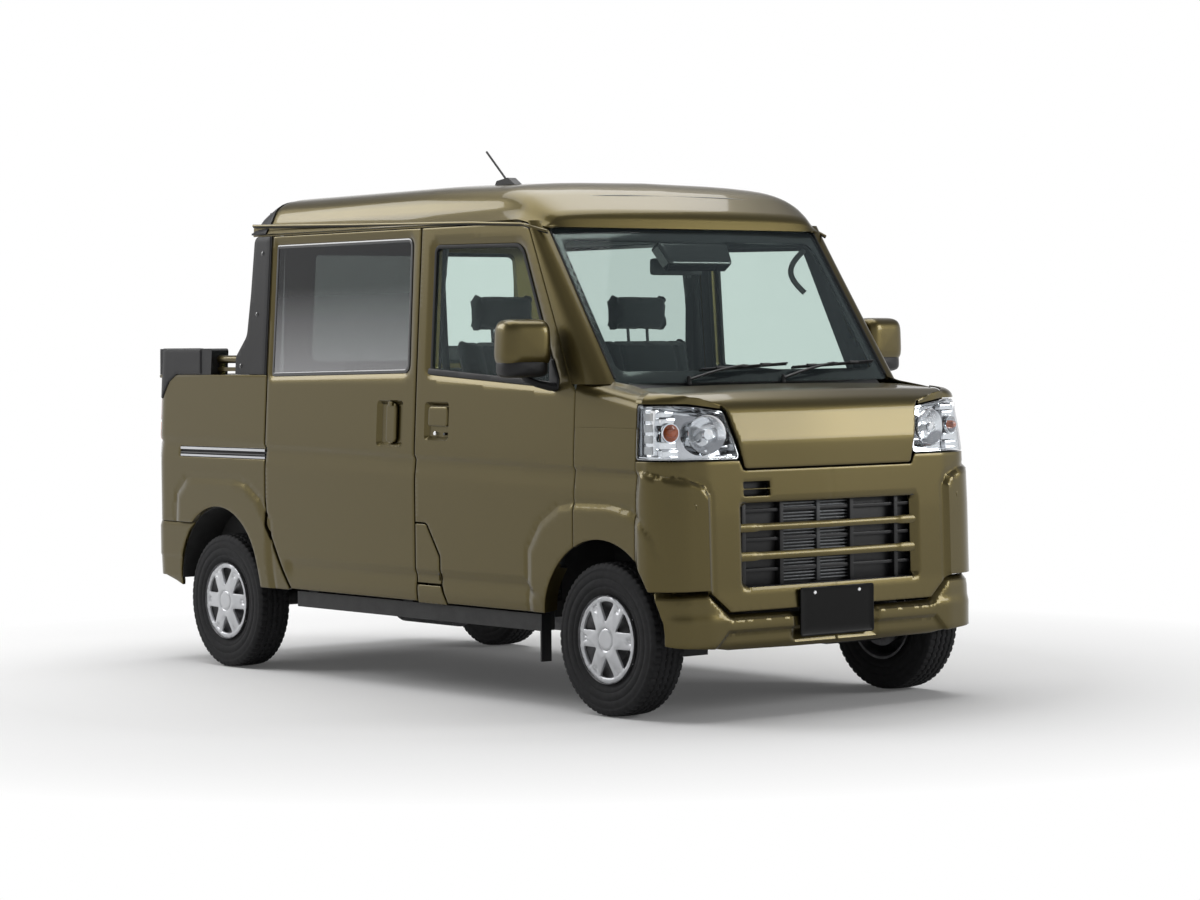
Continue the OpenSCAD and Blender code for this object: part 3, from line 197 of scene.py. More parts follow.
def cloth_material(name, color):
    """Woven seat cloth: crossed threads as bump, with a soft sheen."""
    m, nt, p, _ = new_material(name)
    waves = [add_node(nt, "TexWave", {"Vector": spot(nt), "Scale": 260, "Distortion": 1.2},
                      bands_direction=axis).outputs["Fac"] for axis in "XYZ"]
    threads = combine(nt, "ADD", combine(nt, "ADD", waves[0], waves[1]), waves[2])
    c = np.array(color)
    fill(nt, p, {"Base Color": ramp(nt, noise(nt, 700, 3), c * 0.6, c * 1.5),
                 "Normal": bump(nt, threads, 0.35, 0.0008), "Roughness": 0.85, "Sheen Weight": 0.4})
    return m


M = {
    "paint": paint_material("olive_paint"),
    "black": plain("black_plastic", (0.009, 0.009, 0.010), 0.42, tone=0.2, grain=0.25, spec=0.3),
    "trim": plain("grained_trim", (0.030, 0.033, 0.036), 0.50, tone=0.15, grain=0.45, grain_scale=700),
    "gloss": plain("gloss_black", (0.006, 0.006, 0.007), 0.12, coat=0.6),
    "under": plain("underbody", (0.014, 0.014, 0.014), 0.65, tone=0.3, tone_scale=18, grain=0.4,
                   grain_scale=300),
    "steel": plain("cast_steel", (0.12, 0.12, 0.125), 0.5, metal=0.6, tone=0.3, tone_scale=30, grain=0.3,
                   grain_scale=260),
    "chrome": plain("chrome", (0.78, 0.79, 0.80), 0.10, metal=1.0, tone=0.03),
    "bright": plain("bright_trim", (0.55, 0.56, 0.58), 0.22, metal=1.0, tone=0.05),
    "silver": plain("wheel_silver", (0.52, 0.53, 0.55), 0.32, metal=0.35, tone=0.04, coat=0.5),
    "rubber": plain("tyre_rubber", (0.011, 0.011, 0.012), 0.72, tone=0.25, tone_scale=40, grain=0.35,
                    grain_scale=600, spec=0.25),
    "seal": plain("seal_rubber", (0.007, 0.007, 0.007), 0.55, grain=0.2, spec=0.25),
    "lining": plain("head_lining", (0.42, 0.43, 0.42), 0.9, tone=0.05, tone_scale=60, grain=0.5,
                    grain_scale=500),
    "inner": plain("light_trim", (0.33, 0.34, 0.34), 0.7, tone=0.06, grain=0.4, grain_scale=600),
    "cloth": cloth_material("seat_cloth", (0.040, 0.043, 0.048)),
    "clear": glass_material("clear_glass", (0.92, 0.97, 0.95), (0.16, 0.19, 0.21), 0.07),
    # the privacy panes carry a painted reflection: pale grey base colour low down, fading to the dark film
    # at the top
    "privacy": glass_material("privacy_glass", (0.70, 0.74, 0.73), (0.008, 0.009, 0.011), 0.91,
                              painted_reflection=(0.34, 0.34, 0.35), spec=0.25),
    "lens": glass_material("lamp_lens", (0.97, 0.98, 0.99), (0.5, 0.5, 0.52), 0.02),
    "red": plain("red_lens", (0.30, 0.008, 0.008), 0.10, tone=0.1, coat=1.0),
    "amber": plain("amber_bulb", (0.60, 0.12, 0.02), 0.15, coat=1.0),
    "white_lens": plain("white_lens", (0.55, 0.56, 0.56), 0.12, coat=1.0),
    "plate": plain("plate_black", (0.005, 0.005, 0.005), 0.35, spec=0.12),
    "condenser": plain("condenser", (0.10, 0.105, 0.11), 0.45, metal=0.7, tone=0.2, tone_scale=80),
}


# ---------------------------------------------------------------- mesh helpers
def make(name, verts, faces, mats, body="body", slot=None, face_mat=None, sharp=38, replaces=(),
         smooth=True):
    """Object from vertices in millimetres. face_mat gives each face's place in mats."""
    me = bpy.data.meshes.new(name)
    me.from_pydata((np.asarray(verts, float) * MM).tolist(), [], [tuple(int(i) for i in f) for f in faces])
    me.validate()
    for m in (mats if isinstance(mats, (list, tuple)) else [mats]):
        me.materials.append(M[m])
    if face_mat is not None and len(face_mat) == len(me.polygons):
        me.polygons.foreach_set("material_index", np.asarray(face_mat, np.int32))
    if smooth:
        me.shade_smooth()
        me.set_sharp_from_angle(angle=math.radians(sharp))
    ob = bpy.data.objects.new(name, me)
    bpy.context.scene.collection.objects.link(ob)
    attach(ob, body)
    if replaces:
        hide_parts(*replaces)
    return ob


class Build:
    """Collects parts with materials into one object."""

    def __init__(self):
        self.v, self.f, self.m, self.mats, self.n = [], [], [], [], 0

    def add_faces(self, faces, mat, start):
        """Faces on vertices that count from start."""
        if mat not in self.mats:
            self.mats.append(mat)
        self.f += [tuple(int(i) + start for i in f) for f in faces]
        self.m += [self.mats.index(mat)] * len(faces)

    def add(self, verts, faces, mat):
        self.add_faces(faces, mat, self.n)
        self.v.append(np.asarray(verts, float))
        self.n += len(verts)
        return self

    def box(self, lo, hi, bevel, mat):
        return self.add(*box_mesh(lo, hi, bevel), mat)

    def mirrored(self):
        """The same parts on the other side of the vehicle."""
        b = Build()
        b.mats, b.n, b.m = list(self.mats), self.n, list(self.m)
        b.v = [v * (1, -1, 1) for v in self.v]
        b.f = [tuple(reversed(f)) for f in self.f]
        return b

    def both(self):
        o = self.mirrored()
        self.v += o.v
        self.f += [tuple(i + self.n for i in f) for f in o.f]
        self.m += o.m
        self.n *= 2
        return self

    def make(self, name, **kw):
        return make(name, np.vstack(self.v), self.f, self.mats, face_mat=self.m, **kw)


def unit(v):
    v = np.asarray(v, float)
    return v / np.maximum(np.linalg.norm(v, axis=-1, keepdims=True), 1e-9)


def rounded(points, steps=6):
    """Closed outline from [a, b, radius] points."""
    out = []
    n = len(points)
    for i in range(n):
        a, b, c = (np.array(points[(i + k) % n][:2], float) for k in (-1, 0, 1))
        r = points[i][2] if len(points[i]) > 2 else 0
        if r <= 0:
            out.append(b)
            continue
        u, w = unit(a - b), unit(c - b)
        half = math.acos(max(-1, min(1, float(u @ w)))) / 2
        if half > math.pi / 2 - 0.01:
            out.append(b)
            continue
        centre = b + unit(u + w) * r / math.sin(half)
        p0, p1 = b + u * r / math.tan(half) - centre, b + w * r / math.tan(half) - centre
        s = math.atan2(p0[1], p0[0])
        t = (math.atan2(p1[1], p1[0]) - s + 3 * math.pi) % (2 * math.pi) - math.pi
        out += [centre + r * np.array((math.cos(s + t * k / steps), math.sin(s + t * k / steps)))
                for k in range(steps + 1)]
    return np.array(out)


def resample(line, step, closed=True):
    """Keeps corners and splits long edges."""
    out = []
    n = len(line)
    for i in range(n if closed else n - 1):
        a, b = line[i], line[(i + 1) % n]
        k = max(1, int(math.ceil(np.linalg.norm(b - a) / step)))
        out += [a + (b - a) * j / k for j in range(k)]
    if not closed:
        out.append(line[-1])
    out = np.array(out)
    keep = np.linalg.norm(out - np.roll(out, 1, 0), axis=1) > 0.4
    return out[keep] if closed else out


def offset(line, d, closed=True):
    """Line moved d to its left."""
    nx, pv = np.roll(line, -1, 0), np.roll(line, 1, 0)
    if not closed:
        nx[-1], pv[0] = line[-1] * 2 - line[-2], line[0] * 2 - line[1]
    e0, e1 = unit(line - pv), unit(nx - line)
    n0, n1 = np.stack([-e0[:, 1], e0[:, 0]], 1), np.stack([-e1[:, 1], e1[:, 0]], 1)
    n = unit(n0 + n1)
    k = np.clip((n * n0).sum(1), 0.45, 1)
    return line + n * (d / k)[:, None]


def area(line):
    x, y = line[:, 0], line[:, 1]
    return 0.5 * float((x * np.roll(y, -1) - np.roll(x, -1) * y).sum())


def ccw(line):
    return line if area(line) > 0 else line[::-1]


def distance(pts, line, closed=True):
    """Distance from points to a polyline."""
    a = line if closed else line[:-1]
    b = np.roll(line, -1, 0) if closed else line[1:]
    best = np.full(len(pts), 1e9)
    for i in range(len(a)):
        e = b[i] - a[i]
        t = np.clip(((pts - a[i]) @ e) / max(float(e @ e), 1e-9), 0, 1)
        best = np.minimum(best, np.linalg.norm(pts - a[i] - t[:, None] * e, axis=1))
    return best


def inside(pts, line):
    x, y = pts[:, 0], pts[:, 1]
    r = np.zeros(len(pts), bool)
    a, b = line, np.roll(line, -1, 0)
    for i in range(len(a)):
        (x0, y0), (x1, y1) = a[i], b[i]
        if y0 == y1:
            continue
        r ^= ((y0 > y) != (y1 > y)) & (x < (x1 - x0) * (y - y0) / (y1 - y0) + x0)
    return r


def signed(pts, line):
    """Distance into a closed outline, negative outside."""
    return np.where(inside(pts, line), 1, -1) * distance(pts, line)


def smooth_step(t):
    t = np.clip(t, 0, 1)
    return t * t * (3 - 2 * t)


def triangulate(outline, holes, grid, extra=(), roll=3.0, step=9.0, clip=2.0):
    """Dense triangles inside an outline with holes: (points, triangles, edge loops)."""
    loops = [ccw(resample(outline, step))] + [ccw(resample(h, step))[::-1] for h in holes]
    pts, edges, rings, n = [], [], [], 0
    for lp in loops:
        k = len(lp)
        pts.append(lp)
        edges += [(n + i, n + (i + 1) % k) for i in range(k)]
        rings.append((n, k))
        n += k
    inner = [offset(lp, roll * f) for lp in loops for f in ((0.12, 0.4, 1.0) if roll > 1.4 else (0.5, 1.0))]
    cand = np.vstack(inner)
    d = np.min([distance(cand, lp) for lp in loops], axis=0)
    ok = inside(cand, loops[0]) & (d > 0.09 * roll)
    for lp in loops[1:]:
        ok &= ~inside(cand, lp)
    rim = cand[ok]
    rim = rim[np.unique((rim / 0.35).round(), axis=0, return_index=True)[1]]
    lo, hi = loops[0].min(0), loops[0].max(0)
    gx, gz = np.arange(lo[0] + grid * 0.37, hi[0], grid), np.arange(lo[1] + grid * 0.41, hi[1], grid)
    field = np.stack(np.meshgrid(gx, gz), -1).reshape(-1, 2)
    lines = np.vstack([resample(np.asarray(l, float), 9.5, False)
                       for l in extra]) if len(extra) else np.zeros((0, 2))
    if len(lines):
        key = np.unique((lines / 1.5).round(), axis=0, return_index=True)[1]
        lines = lines[key]
        cells = {tuple(c) for c in (lines / (grid * 0.5)).round().astype(int)}
        field = np.array([p for p in field if tuple((p / (grid * 0.5)).round().astype(int)) not in cells])
    free = np.vstack([field, lines])
    d = np.min([distance(free, lp) for lp in loops], axis=0)
    ok = inside(free, loops[0]) & (d > roll * 1.0 + clip)
    for lp in loops[1:]:
        ok &= ~inside(free, lp)
    pts = np.vstack(pts + [rim, free[ok]])
    res = delaunay_2d_cdt([Vector(p) for p in pts], edges, [], 0, 1e-4)
    pv = np.array([tuple(v) for v in res[0]])
    tris = np.array([f for f in res[2] if len(f) == 3])
    c = pv[tris].mean(1)
    ok = inside(c, loops[0])
    for lp in loops[1:]:
        ok &= ~inside(c, lp)
    tris = tris[ok]
    # edge loops by boundary edges of the kept triangles
    count = Counter()
    for t in tris:
        for i in range(3):
            count[(int(t[i]), int(t[(i + 1) % 3]))] += 1
    border = [e for e in count if (e[1], e[0]) not in count]
    dist = np.min([distance(pv, lp) for lp in loops], axis=0)
    return pv, tris, border, dist


def panel(outline, fn, depth=20.0, holes=(), grid=14.0, roll=3.0, extra=(), mat="paint", inner_mat=None,
          build=None, step=9.0, lift=0.0):
    """Closed sheet on the surface fn(points) -> (positions, normals), with rolled edges."""
    pv, tris, border, dist = triangulate(np.asarray(outline, float), [np.asarray(h, float) for h in holes],
                                         grid, extra, roll, step)
    pos, nor = fn(pv)
    r = max(roll, 0.01)
    drop = np.where(dist < r, r - np.sqrt(np.maximum(r * r - (r - np.minimum(dist, r)) ** 2, 0)), 0)
    outer = pos + nor * (lift - drop)[:, None]
    dep = depth(pv) if callable(depth) else np.full(len(pv), float(depth))
    inner = pos + nor * (lift - np.maximum(dep, r + 0.5))[:, None]
    t = tris.copy()
    a, b, c = pos[t[:, 0]], pos[t[:, 1]], pos[t[:, 2]]
    flip = float((np.cross(b - a, c - a) * nor[t[:, 0]]).sum()) < 0
    if flip:
        t = t[:, ::-1]
        border = [(j, i) for i, j in border]
    n = len(pv)
    build = build or Build()
    walls = [(i, i + n, j + n, j) for i, j in border]
    back = t[:, ::-1] + n
    start = build.n
    build.add(np.vstack([outer, inner]), [*t, *walls], mat)
    build.add_faces(back, inner_mat or mat, start)
    return build


def numeric(fn3):
    """Adds normals by differences to a surface of points."""
    def wrap(p):
        e = 0.5
        pos = fn3(p)
        du = fn3(p + (e, 0)) - fn3(p - (e, 0))
        dv = fn3(p + (0, e)) - fn3(p - (0, e))
        return pos, unit(np.cross(du, dv))
    return wrap


def tube(line, r, closed=False, sides=8, flat=1.0):
    """Tube along a 3-D line in millimetres; flat squashes it along its binormal."""
    line = np.asarray(line, float)
    n = len(line)
    nx, pv = np.roll(line, -1, 0), np.roll(line, 1, 0)
    if not closed:
        nx[-1], pv[0] = line[-1] * 2 - line[-2], line[0] * 2 - line[1]
    tan = unit(nx - pv)
    up = np.array((0, 0, 1.0)) if abs(tan[0][2]) < 0.9 else np.array((0, 1.0, 0))
    a = unit(np.cross(tan[0], up))
    rows = []
    for i in range(n):
        a = unit(a - tan[i] * float(a @ tan[i]))
        b = np.cross(tan[i], a)
        ang = np.arange(sides) * 2 * math.pi / sides
        rr = r[i] if np.ndim(r) else r
        rows.append(line[i] + rr * (np.cos(ang)[:, None] * a + flat * np.sin(ang)[:, None] * b))
    v = np.vstack(rows)
    f = []
    for i in range(n if closed else n - 1):
        j = (i + 1) % n
        f += [(i * sides + k, i * sides + (k + 1) % sides, j * sides + (k + 1) % sides, j * sides + k)
              for k in range(sides)]
    if not closed:
        f += [tuple(reversed(range(sides))), tuple((n - 1) * sides + k for k in range(sides))]
    return v, f


def box_mesh(lo, hi, bevel=2.0):
    """Box with chamfered edges."""
    bm = bmesh.new()
    bmesh.ops.create_cube(bm, size=1)
    lo, hi = np.array(lo, float), np.array(hi, float)
    for v in bm.verts:
        v.co = Vector((lo + hi) / 2 + (hi - lo) * np.array(v.co))
    bevel = min(bevel, float((hi - lo).min()) * 0.45)
    bmesh.ops.bevel(bm, geom=list(bm.edges), offset=bevel, segments=2, profile=0.6, affect="EDGES")
    bm.verts.index_update()
    v = np.array([tuple(x.co) for x in bm.verts])
    f = [tuple(x.index for x in g.verts) for g in bm.faces]
    bm.free()
    return v, f


def lathe(profile, axis_at, axis="y", sides=48, side=1, closed=False):
    """Revolves [radius, along] about an axis through axis_at."""
    p = np.asarray(profile, float)
    ang = np.arange(sides) * 2 * math.pi / sides
    rows = []
    for r, h in p:
        c, s = r * np.cos(ang), r * np.sin(ang)
        if axis == "y":
            rows.append(np.stack([c, np.full(sides, h * side), s], 1))
        elif axis == "x":
            rows.append(np.stack([np.full(sides, h * side), c, s], 1))
        else:
            rows.append(np.stack([c, s, np.full(sides, h * side)], 1))
    v = np.vstack(rows) + np.asarray(axis_at, float)
    f = []
    n = len(p)
    for i in range(n if closed else n - 1):
        j = (i + 1) % n
        f += [(i * sides + k, j * sides + k, j * sides + (k + 1) % sides, i * sides + (k + 1) % sides)
              for k in range(sides)]
    flip = (side < 0) != (axis != "y")
    if flip:
        f = [tuple(reversed(g)) for g in f]
    return v, f


def grid_mesh(pos, close_u=False):
    """Quads over an array of positions [rows][columns]."""
    a, b = pos.shape[:2]
    f = [(i * b + j, (i + 1) * b + j, (i + 1) * b + (j + 1) % b, i * b + (j + 1) % b)
         for i in range(a - 1) for j in range(b if close_u else b - 1)]
    return pos.reshape(-1, 3), f


def slab(pos, thick, mat, build, flip=False):
    """Closed shell from a grid of positions, thickened inwards."""
    a, b = pos.shape[:2]
    du, dv = np.gradient(pos, axis=0), np.gradient(pos, axis=1)
    n = unit(np.cross(du, dv)) * (-1 if flip else 1)
    inner = pos - n * thick
    v0, f0 = grid_mesh(pos)
    if flip:
        f0 = [tuple(reversed(g)) for g in f0]
    N = a * b
    back = [tuple(i + N for i in reversed(g)) for g in f0]
    loop = [j for j in range(b)] + [i * b + b - 1 for i in range(1, a)] + \
           [(a - 1) * b + j for j in range(b - 2, -1, -1)] + [i * b for i in range(a - 2, 0, -1)]
    walls = []
    for i, p in enumerate(loop):
        q = loop[(i + 1) % len(loop)]
        walls.append((p, q, q + N, p + N) if not flip else (p, p + N, q + N, q))
    build.add(np.vstack([v0, inner.reshape(-1, 3)]), f0 + back + walls, mat)
    return build


# ---------------------------------------------------------------- side of the body
LEVELS = np.array([[274, 20], [342, 10], [400, 1], [440, 0], [900, 0], [1185, 15], [1732, 48], [1800, 52]],
                  float)
COWL_Z = 1146.0
ARCH_F, ARCH_R = (1290.0, 290.5, 324.0), (-1176.0, 346.5, 301.0)
CORNER_X, CORNER_R = -1592.5, 70.0


def inset(z):
    return np.mean([np.interp(z + d, LEVELS[:, 0], LEVELS[:, 1]) for d in (-36, -18, 0, 18, 36)], axis=0)


def pillar_x(z):
    return np.where(z < COWL_Z, 1145.0, 1128 - 0.5037 * (z - COWL_Z))


def screen_x(z):
    return 1280 - 0.7077 * (z - COWL_Z)


def arc(c, a0, a1, r=None, n=30):
    a = np.radians(np.linspace(a0, a1, n))
    r = r or c[2]
    return [(c[0] + r * math.cos(t), c[1] + r * math.sin(t)) for t in a]


def rounded_box(p, x0, x1, z0, z1, r):
    """Distance into a rounded rectangle, negative outside."""
    cx, cz = (x0 + x1) / 2, (z0 + z1) / 2
    q = np.abs(p - (cx, cz)) - ((x1 - x0) / 2 - r, (z1 - z0) / 2 - r)
    out = np.linalg.norm(np.maximum(q, 0), axis=-1) + np.minimum(np.maximum(q[..., 0], q[..., 1]), 0)
    return -(out - r)


FRONT_FLARE = np.array([(1614, 560), (1588, 643), (1526, 682), (1455, 717), (1338, 737), (1134, 735),
                        (1058, 721), (952, 659), (880, 560), (880, 200), (1614, 200)], float)
REAR_FLARE = np.array([(-1500, 560), (-1490, 690), (-1415, 753), (-1380, 758), (-1060, 758), (-961, 741),
                       (-868, 686), (-800, 600), (-770, 200), (-1500, 200)], float)
FRONT_WINDOW = rounded([[1046, 1143, 18], [803, 1652, 70], [270, 1660, 30], [270, 1190, 25]], 10)
SLIDE_WINDOW = rounded([[139, 1189, 30], [133, 1690, 30], [-790, 1690, 8], [-794, 1175, 12]], 10)
HANDLE_F = (252, 404, 940, 1083, 18)
HANDLE_S = (-56, 114, 912, 1087, 20)


def belt_line(x):
    return 891 - (x + 809) * 0.02083


def relief(p):
    """How far the side stands out of its plain section."""
    x, z = p[:, 0], p[:, 1]
    t = belt_line(x) - z
    out = np.interp(t, [-14, -1, 6, 66, 90], [0, -8.5, -8.2, -1.0, 0])
    low = np.interp(z, [352, 384, 420, 441, 462], [0, -1.0, -8.0, -8.5, 0])
    out = out + low * smooth_step((905 - x - (z - 430) * 1.2) / 30) * smooth_step((x + 700) / 60)
    for poly in (FRONT_FLARE, REAR_FLARE):
        d = signed(p, poly)
        out = out + 6.5 * np.clip(d / 28, 0, 1) - 3.0 * np.exp(-((d + 4) / 5.5) ** 2)
    d = -signed(p, FRONT_WINDOW)
    out = out - 9.0 * smooth_step(1 - (d - 2) / 24)
    d = -signed(p, SLIDE_WINDOW)
    out = out - 7.0 * smooth_step(1 - (d - 1) / 20)
    out = out - 15 * smooth_step(rounded_box(p, *HANDLE_F) / 15)
    out = out - 15 * smooth_step(rounded_box(p, *HANDLE_S) / 17)
    return out


def side_point(p):
    """Right side from x (length along the surface round the rear corner) and z."""
    u, z = p[:, 0], p[:, 1]
    s = np.maximum(CORNER_X - u, 0)
    a = np.minimum(s / CORNER_R, math.pi / 2)
    past = np.maximum(s - CORNER_R * math.pi / 2, 0)
    x = np.where(s > 0, CORNER_X - CORNER_R * np.sin(a), u)
    turn = CORNER_R * (1 - np.cos(a)) + past
    out = relief(p) * np.cos(a)
    return np.stack([x, -(HALF_W - inset(z) - turn + np.minimum(out, 8)), z], 1)


side = numeric(side_point)
BELT_ROWS = [[(x, belt_line(x) + d) for x in range(-860, 1500, 9)] for d in (-66, 3, 14)]
LOW_ROWS = [[(x, z) for x in range(-700, 960, 10)] for z in (352, 384, 420, 441, 462)]


def feature_rows(flare):
    """Lines along the belt, the sill and a flare, where the side panels' points lie closer."""
    rows = BELT_ROWS + LOW_ROWS + [offset(ccw(flare), d) for d in (-6, 0, 30)]
    return [np.array(r, float) for r in rows]


def box_rows(b, *ds):
    x0, x1, z0, z1, r = b
    base = rounded([[x0, z0, r], [x1, z0, r], [x1, z1, r], [x0, z1, r]], 6)
    return [resample(offset(ccw(base), d), 6) for d in ds]


FRONT_DOOR = rounded([[1145, 581], [1145, 1126], [1128, 1146], [836, 1726, 60], [195, 1726, 8], [195, 636],
                      [265, 636, 30], [350, 515, 30], [350, 412], [382, 342]]
                     + arc(ARCH_F, 170.9, 117.2, 325, 24), 8)
SLIDE_DOOR = rounded([[187, 342], [187, 1726, 6], [-814, 1726, 6], [-824, 700], [-810, 585, 60],
                      [-660, 342]], 10)
BED_SIDE = rounded([[-828, 1180], [-832, 700], [-826, 582, 60], [-676, 342], [-688, 336.3]] +
                   arc(ARCH_R, -2, 129.9, 301, 40) + [[-1727.5, 577.3], [-1727.5, 1180]], 8)
TRACK = rounded([[-1465, 846], [-829, 846], [-829, 888], [-1465, 888]], 2)
LAMP_R = rounded([[-1715.5, 828, 4], [-1634.1, 828, 4], [-1634.1, 1092, 4], [-1715.5, 1092, 4]], 3)


def door_depth(p):
    z, x = p[:, 1], p[:, 0]
    d = np.where(z > 1190, 34.0, np.where(z > 1170, 34 + (1190 - z) * 1.2, 58.0))
    return np.where(x > 1060, 7.5, np.where(x > 1045, np.minimum(d, 20), d))


def side_pair(name, build, bodies, **kw):
    build.make(name + "_right", body=bodies[0],
               **{k: v[0] if isinstance(v, tuple) else v for k, v in kw.items()})
    build.mirrored().make(name + "_left", body=bodies[1],
                          **{k: v[1] if isinstance(v, tuple) else v for k, v in kw.items()})


def ring_prism(outline, fn, thick, top, deep, mat, build):
    """Flat band following an outline on a surface: from its edge, thick inwards."""
    o = ccw(resample(np.asarray(outline, float), 8))
    i = offset(o, thick)
    po, no = fn(o)
    pi, ni = fn(i)
    rows = np.stack([po + no * (top - 1.0), po * 0.85 + pi * 0.15 + no * top,
                     po * 0.15 + pi * 0.85 + ni * top, pi + ni * (top - 1.0),
                     pi - ni * deep, po - no * deep], 0)
    v, f = grid_mesh(np.concatenate([rows, rows[:1]], 0), close_u=True)
    return build.add(v, f, mat)


def plain_side(depth_in=0.0):
    def fn(p):
        z = p[:, 1]
        return np.stack([p[:, 0], -(HALF_W - inset(z) - depth_in), z], 1)
    return numeric(fn)


def build_side():
    # front door
    b = Build()
    rows = feature_rows(FRONT_FLARE) + box_rows(HANDLE_F, 0, 8, 15)
    rows += [resample(offset(ccw(FRONT_WINDOW), d), 8) for d in (-22, -10)]
    panel(FRONT_DOOR, side, door_depth, [FRONT_WINDOW], 18, 3.2, rows, "paint", "trim", b)
    # outer handle: flap, lock and button in the recess
    flap = rounded([[272, 993, 12], [394, 993, 12], [394, 1066, 16], [272, 1066, 16]], 6)
    flat = plain_side()
    panel(flap, flat, 13, grid=9, roll=5, mat="paint", build=b, lift=-1.0)
    for x, z, r in ((311, 966, 8), (371, 965, 6)):
        b.add(*lathe([(0, 6), (r * 0.8, 6), (r, 4), (r, -6)], (x, -(HALF_W - 14), z), "y", 20, -1),
              "chrome" if r > 7 else "gloss")
    b.add(*tube([(272, -724, 1016), (394, -724, 1016)], 1.6), "seal")
    # window seal, black lower bar, and frame inside
    seal_fn = plain_side(9)
    ring_prism(FRONT_WINDOW, seal_fn, 14, 2.5, 10, "seal", b)
    # belt bar below the glass
    bar = np.array([(1052, 1136), (1058, 1147), (1048, 1156), (264, 1206), (258, 1192), (262, 1183)], float)
    panel(bar, plain_side(4), 8, grid=12, roll=2.5, mat="black", build=b, lift=1.5)
    # inner trim: panel card, arm rest and pocket, then the hinge eyes
    card = rounded([[1030, 700, 40], [1030, 1120, 10], [215, 1160, 10], [215, 660, 20], [360, 540, 30],
                    [420, 380, 20], [880, 380, 60]], 6)
    panel(card, plain_side(59), 9, grid=30, roll=4, mat="trim", build=b)
    b.box((300, -HALF_W + 60, 862), (890, -HALF_W + 104, 898), 12, "trim")
    b.box((420, -HALF_W + 60, 440), (820, -HALF_W + 92, 560), 10, "trim")
    for z in (690, 850):
        b.add(*lathe([(6.2, 1), (6.2, 49), (4.1, 49), (4.1, 1)], (1075, -717.5, z + 50), "z", 24,
                     closed=True), "paint")
        b.box((1055, -723, z + 50.5), (1068, -712, z + 99), 1.5, "paint")
    side_pair("front_door_skin", b, ("front_door_right", "front_door_left"), slot="paint",
              replaces=(("front_door_right",), ("front_door_left",)))
    # sliding door
    b = Build()
    rows = feature_rows(REAR_FLARE) + box_rows(HANDLE_S, 0, 9, 17)
    rows.append(resample(offset(ccw(SLIDE_WINDOW), -9), 9))
    panel(SLIDE_DOOR, side, lambda p: np.where(p[:, 1] > 1190, 34.0,
                                               np.where(p[:, 1] > 1170, 34 + (1190 - p[:, 1]) * 1.2, 56.0)),
          [SLIDE_WINDOW], 18, 3.2, rows, "paint", "trim", b)
    grip = rounded([[2, 930, 16], [66, 930, 16], [66, 1077, 20], [2, 1077, 20]], 6)
    panel(grip, flat, 9, grid=9, roll=5, mat="paint", build=b, lift=-1.0)
    for z in (934, 1073):
        b.box((22, -(HALF_W - 4), z - 8), (48, -(HALF_W - 20), z + 8), 3, "paint")
    ring_prism(SLIDE_WINDOW, plain_side(7), 13, 2.4, 12, "gloss", b)
    card = rounded([[140, 690, 20], [140, 1150, 10], [-780, 1150, 10], [-780, 700, 60], [-640, 400, 40],
                    [140, 400, 20]], 6)
    panel(card, plain_side(57), 8, grid=30, roll=4, mat="inner", build=b)
    side_pair("slide_door_skin", b, ("body", "body"), slot="paint",
              replaces=(("slide_door_right",), ("slide_door_left",)))
    # glass
    b = Build()
    panel(offset(ccw(FRONT_WINDOW), 3), plain_side(14), 5, grid=40, roll=1, mat="clear", build=b)
    side_pair("door_pane", b, ("front_door_right", "front_door_left"), slot="clear_glass",
              replaces=(("door_glass_right",), ("door_glass_left",)))
    b = Build()
    panel(offset(ccw(SLIDE_WINDOW), 4), plain_side(7.0), 5, grid=40, roll=1, mat="privacy",
          inner_mat="clear", build=b)
    b.both().make("slide_pane", slot="privacy_glass", replaces=("slide_glass",))
    # lower centre pillar, fuel panel
    b = Build()
    foot = rounded([[196, 404], [342, 404], [372, 342], [372, 336], [196, 336]], 3)
    panel(foot, side, 50, grid=12, roll=2.5, extra=LOW_ROWS, build=b)
    b.both()
    lid = rounded([[195, 630], [261, 630, 30], [342, 513, 30], [342, 412], [195, 412]], 6)
    fl = Build()
    panel(lid, side, 11, grid=11, roll=2.5, extra=LOW_ROWS, build=fl)
    left = fl.mirrored()
    b.v += left.v
    b.f += [tuple(i + b.n for i in g) for g in left.f]
    b.m += [0] * len(left.f)
    b.n += left.n
    for k in (-1, 1):
        fl.add(*lathe([(4, -10), (4, 10), (2.2, 10), (2.2, -10)], (336, -732.5, 455 + 20 * k), "z", 20,
                      closed=True), "paint")
    fl.make("fuel_lid_skin", body="fuel_lid", slot="paint", replaces=("fuel_lid",))
    return b


pillar_base = build_side()


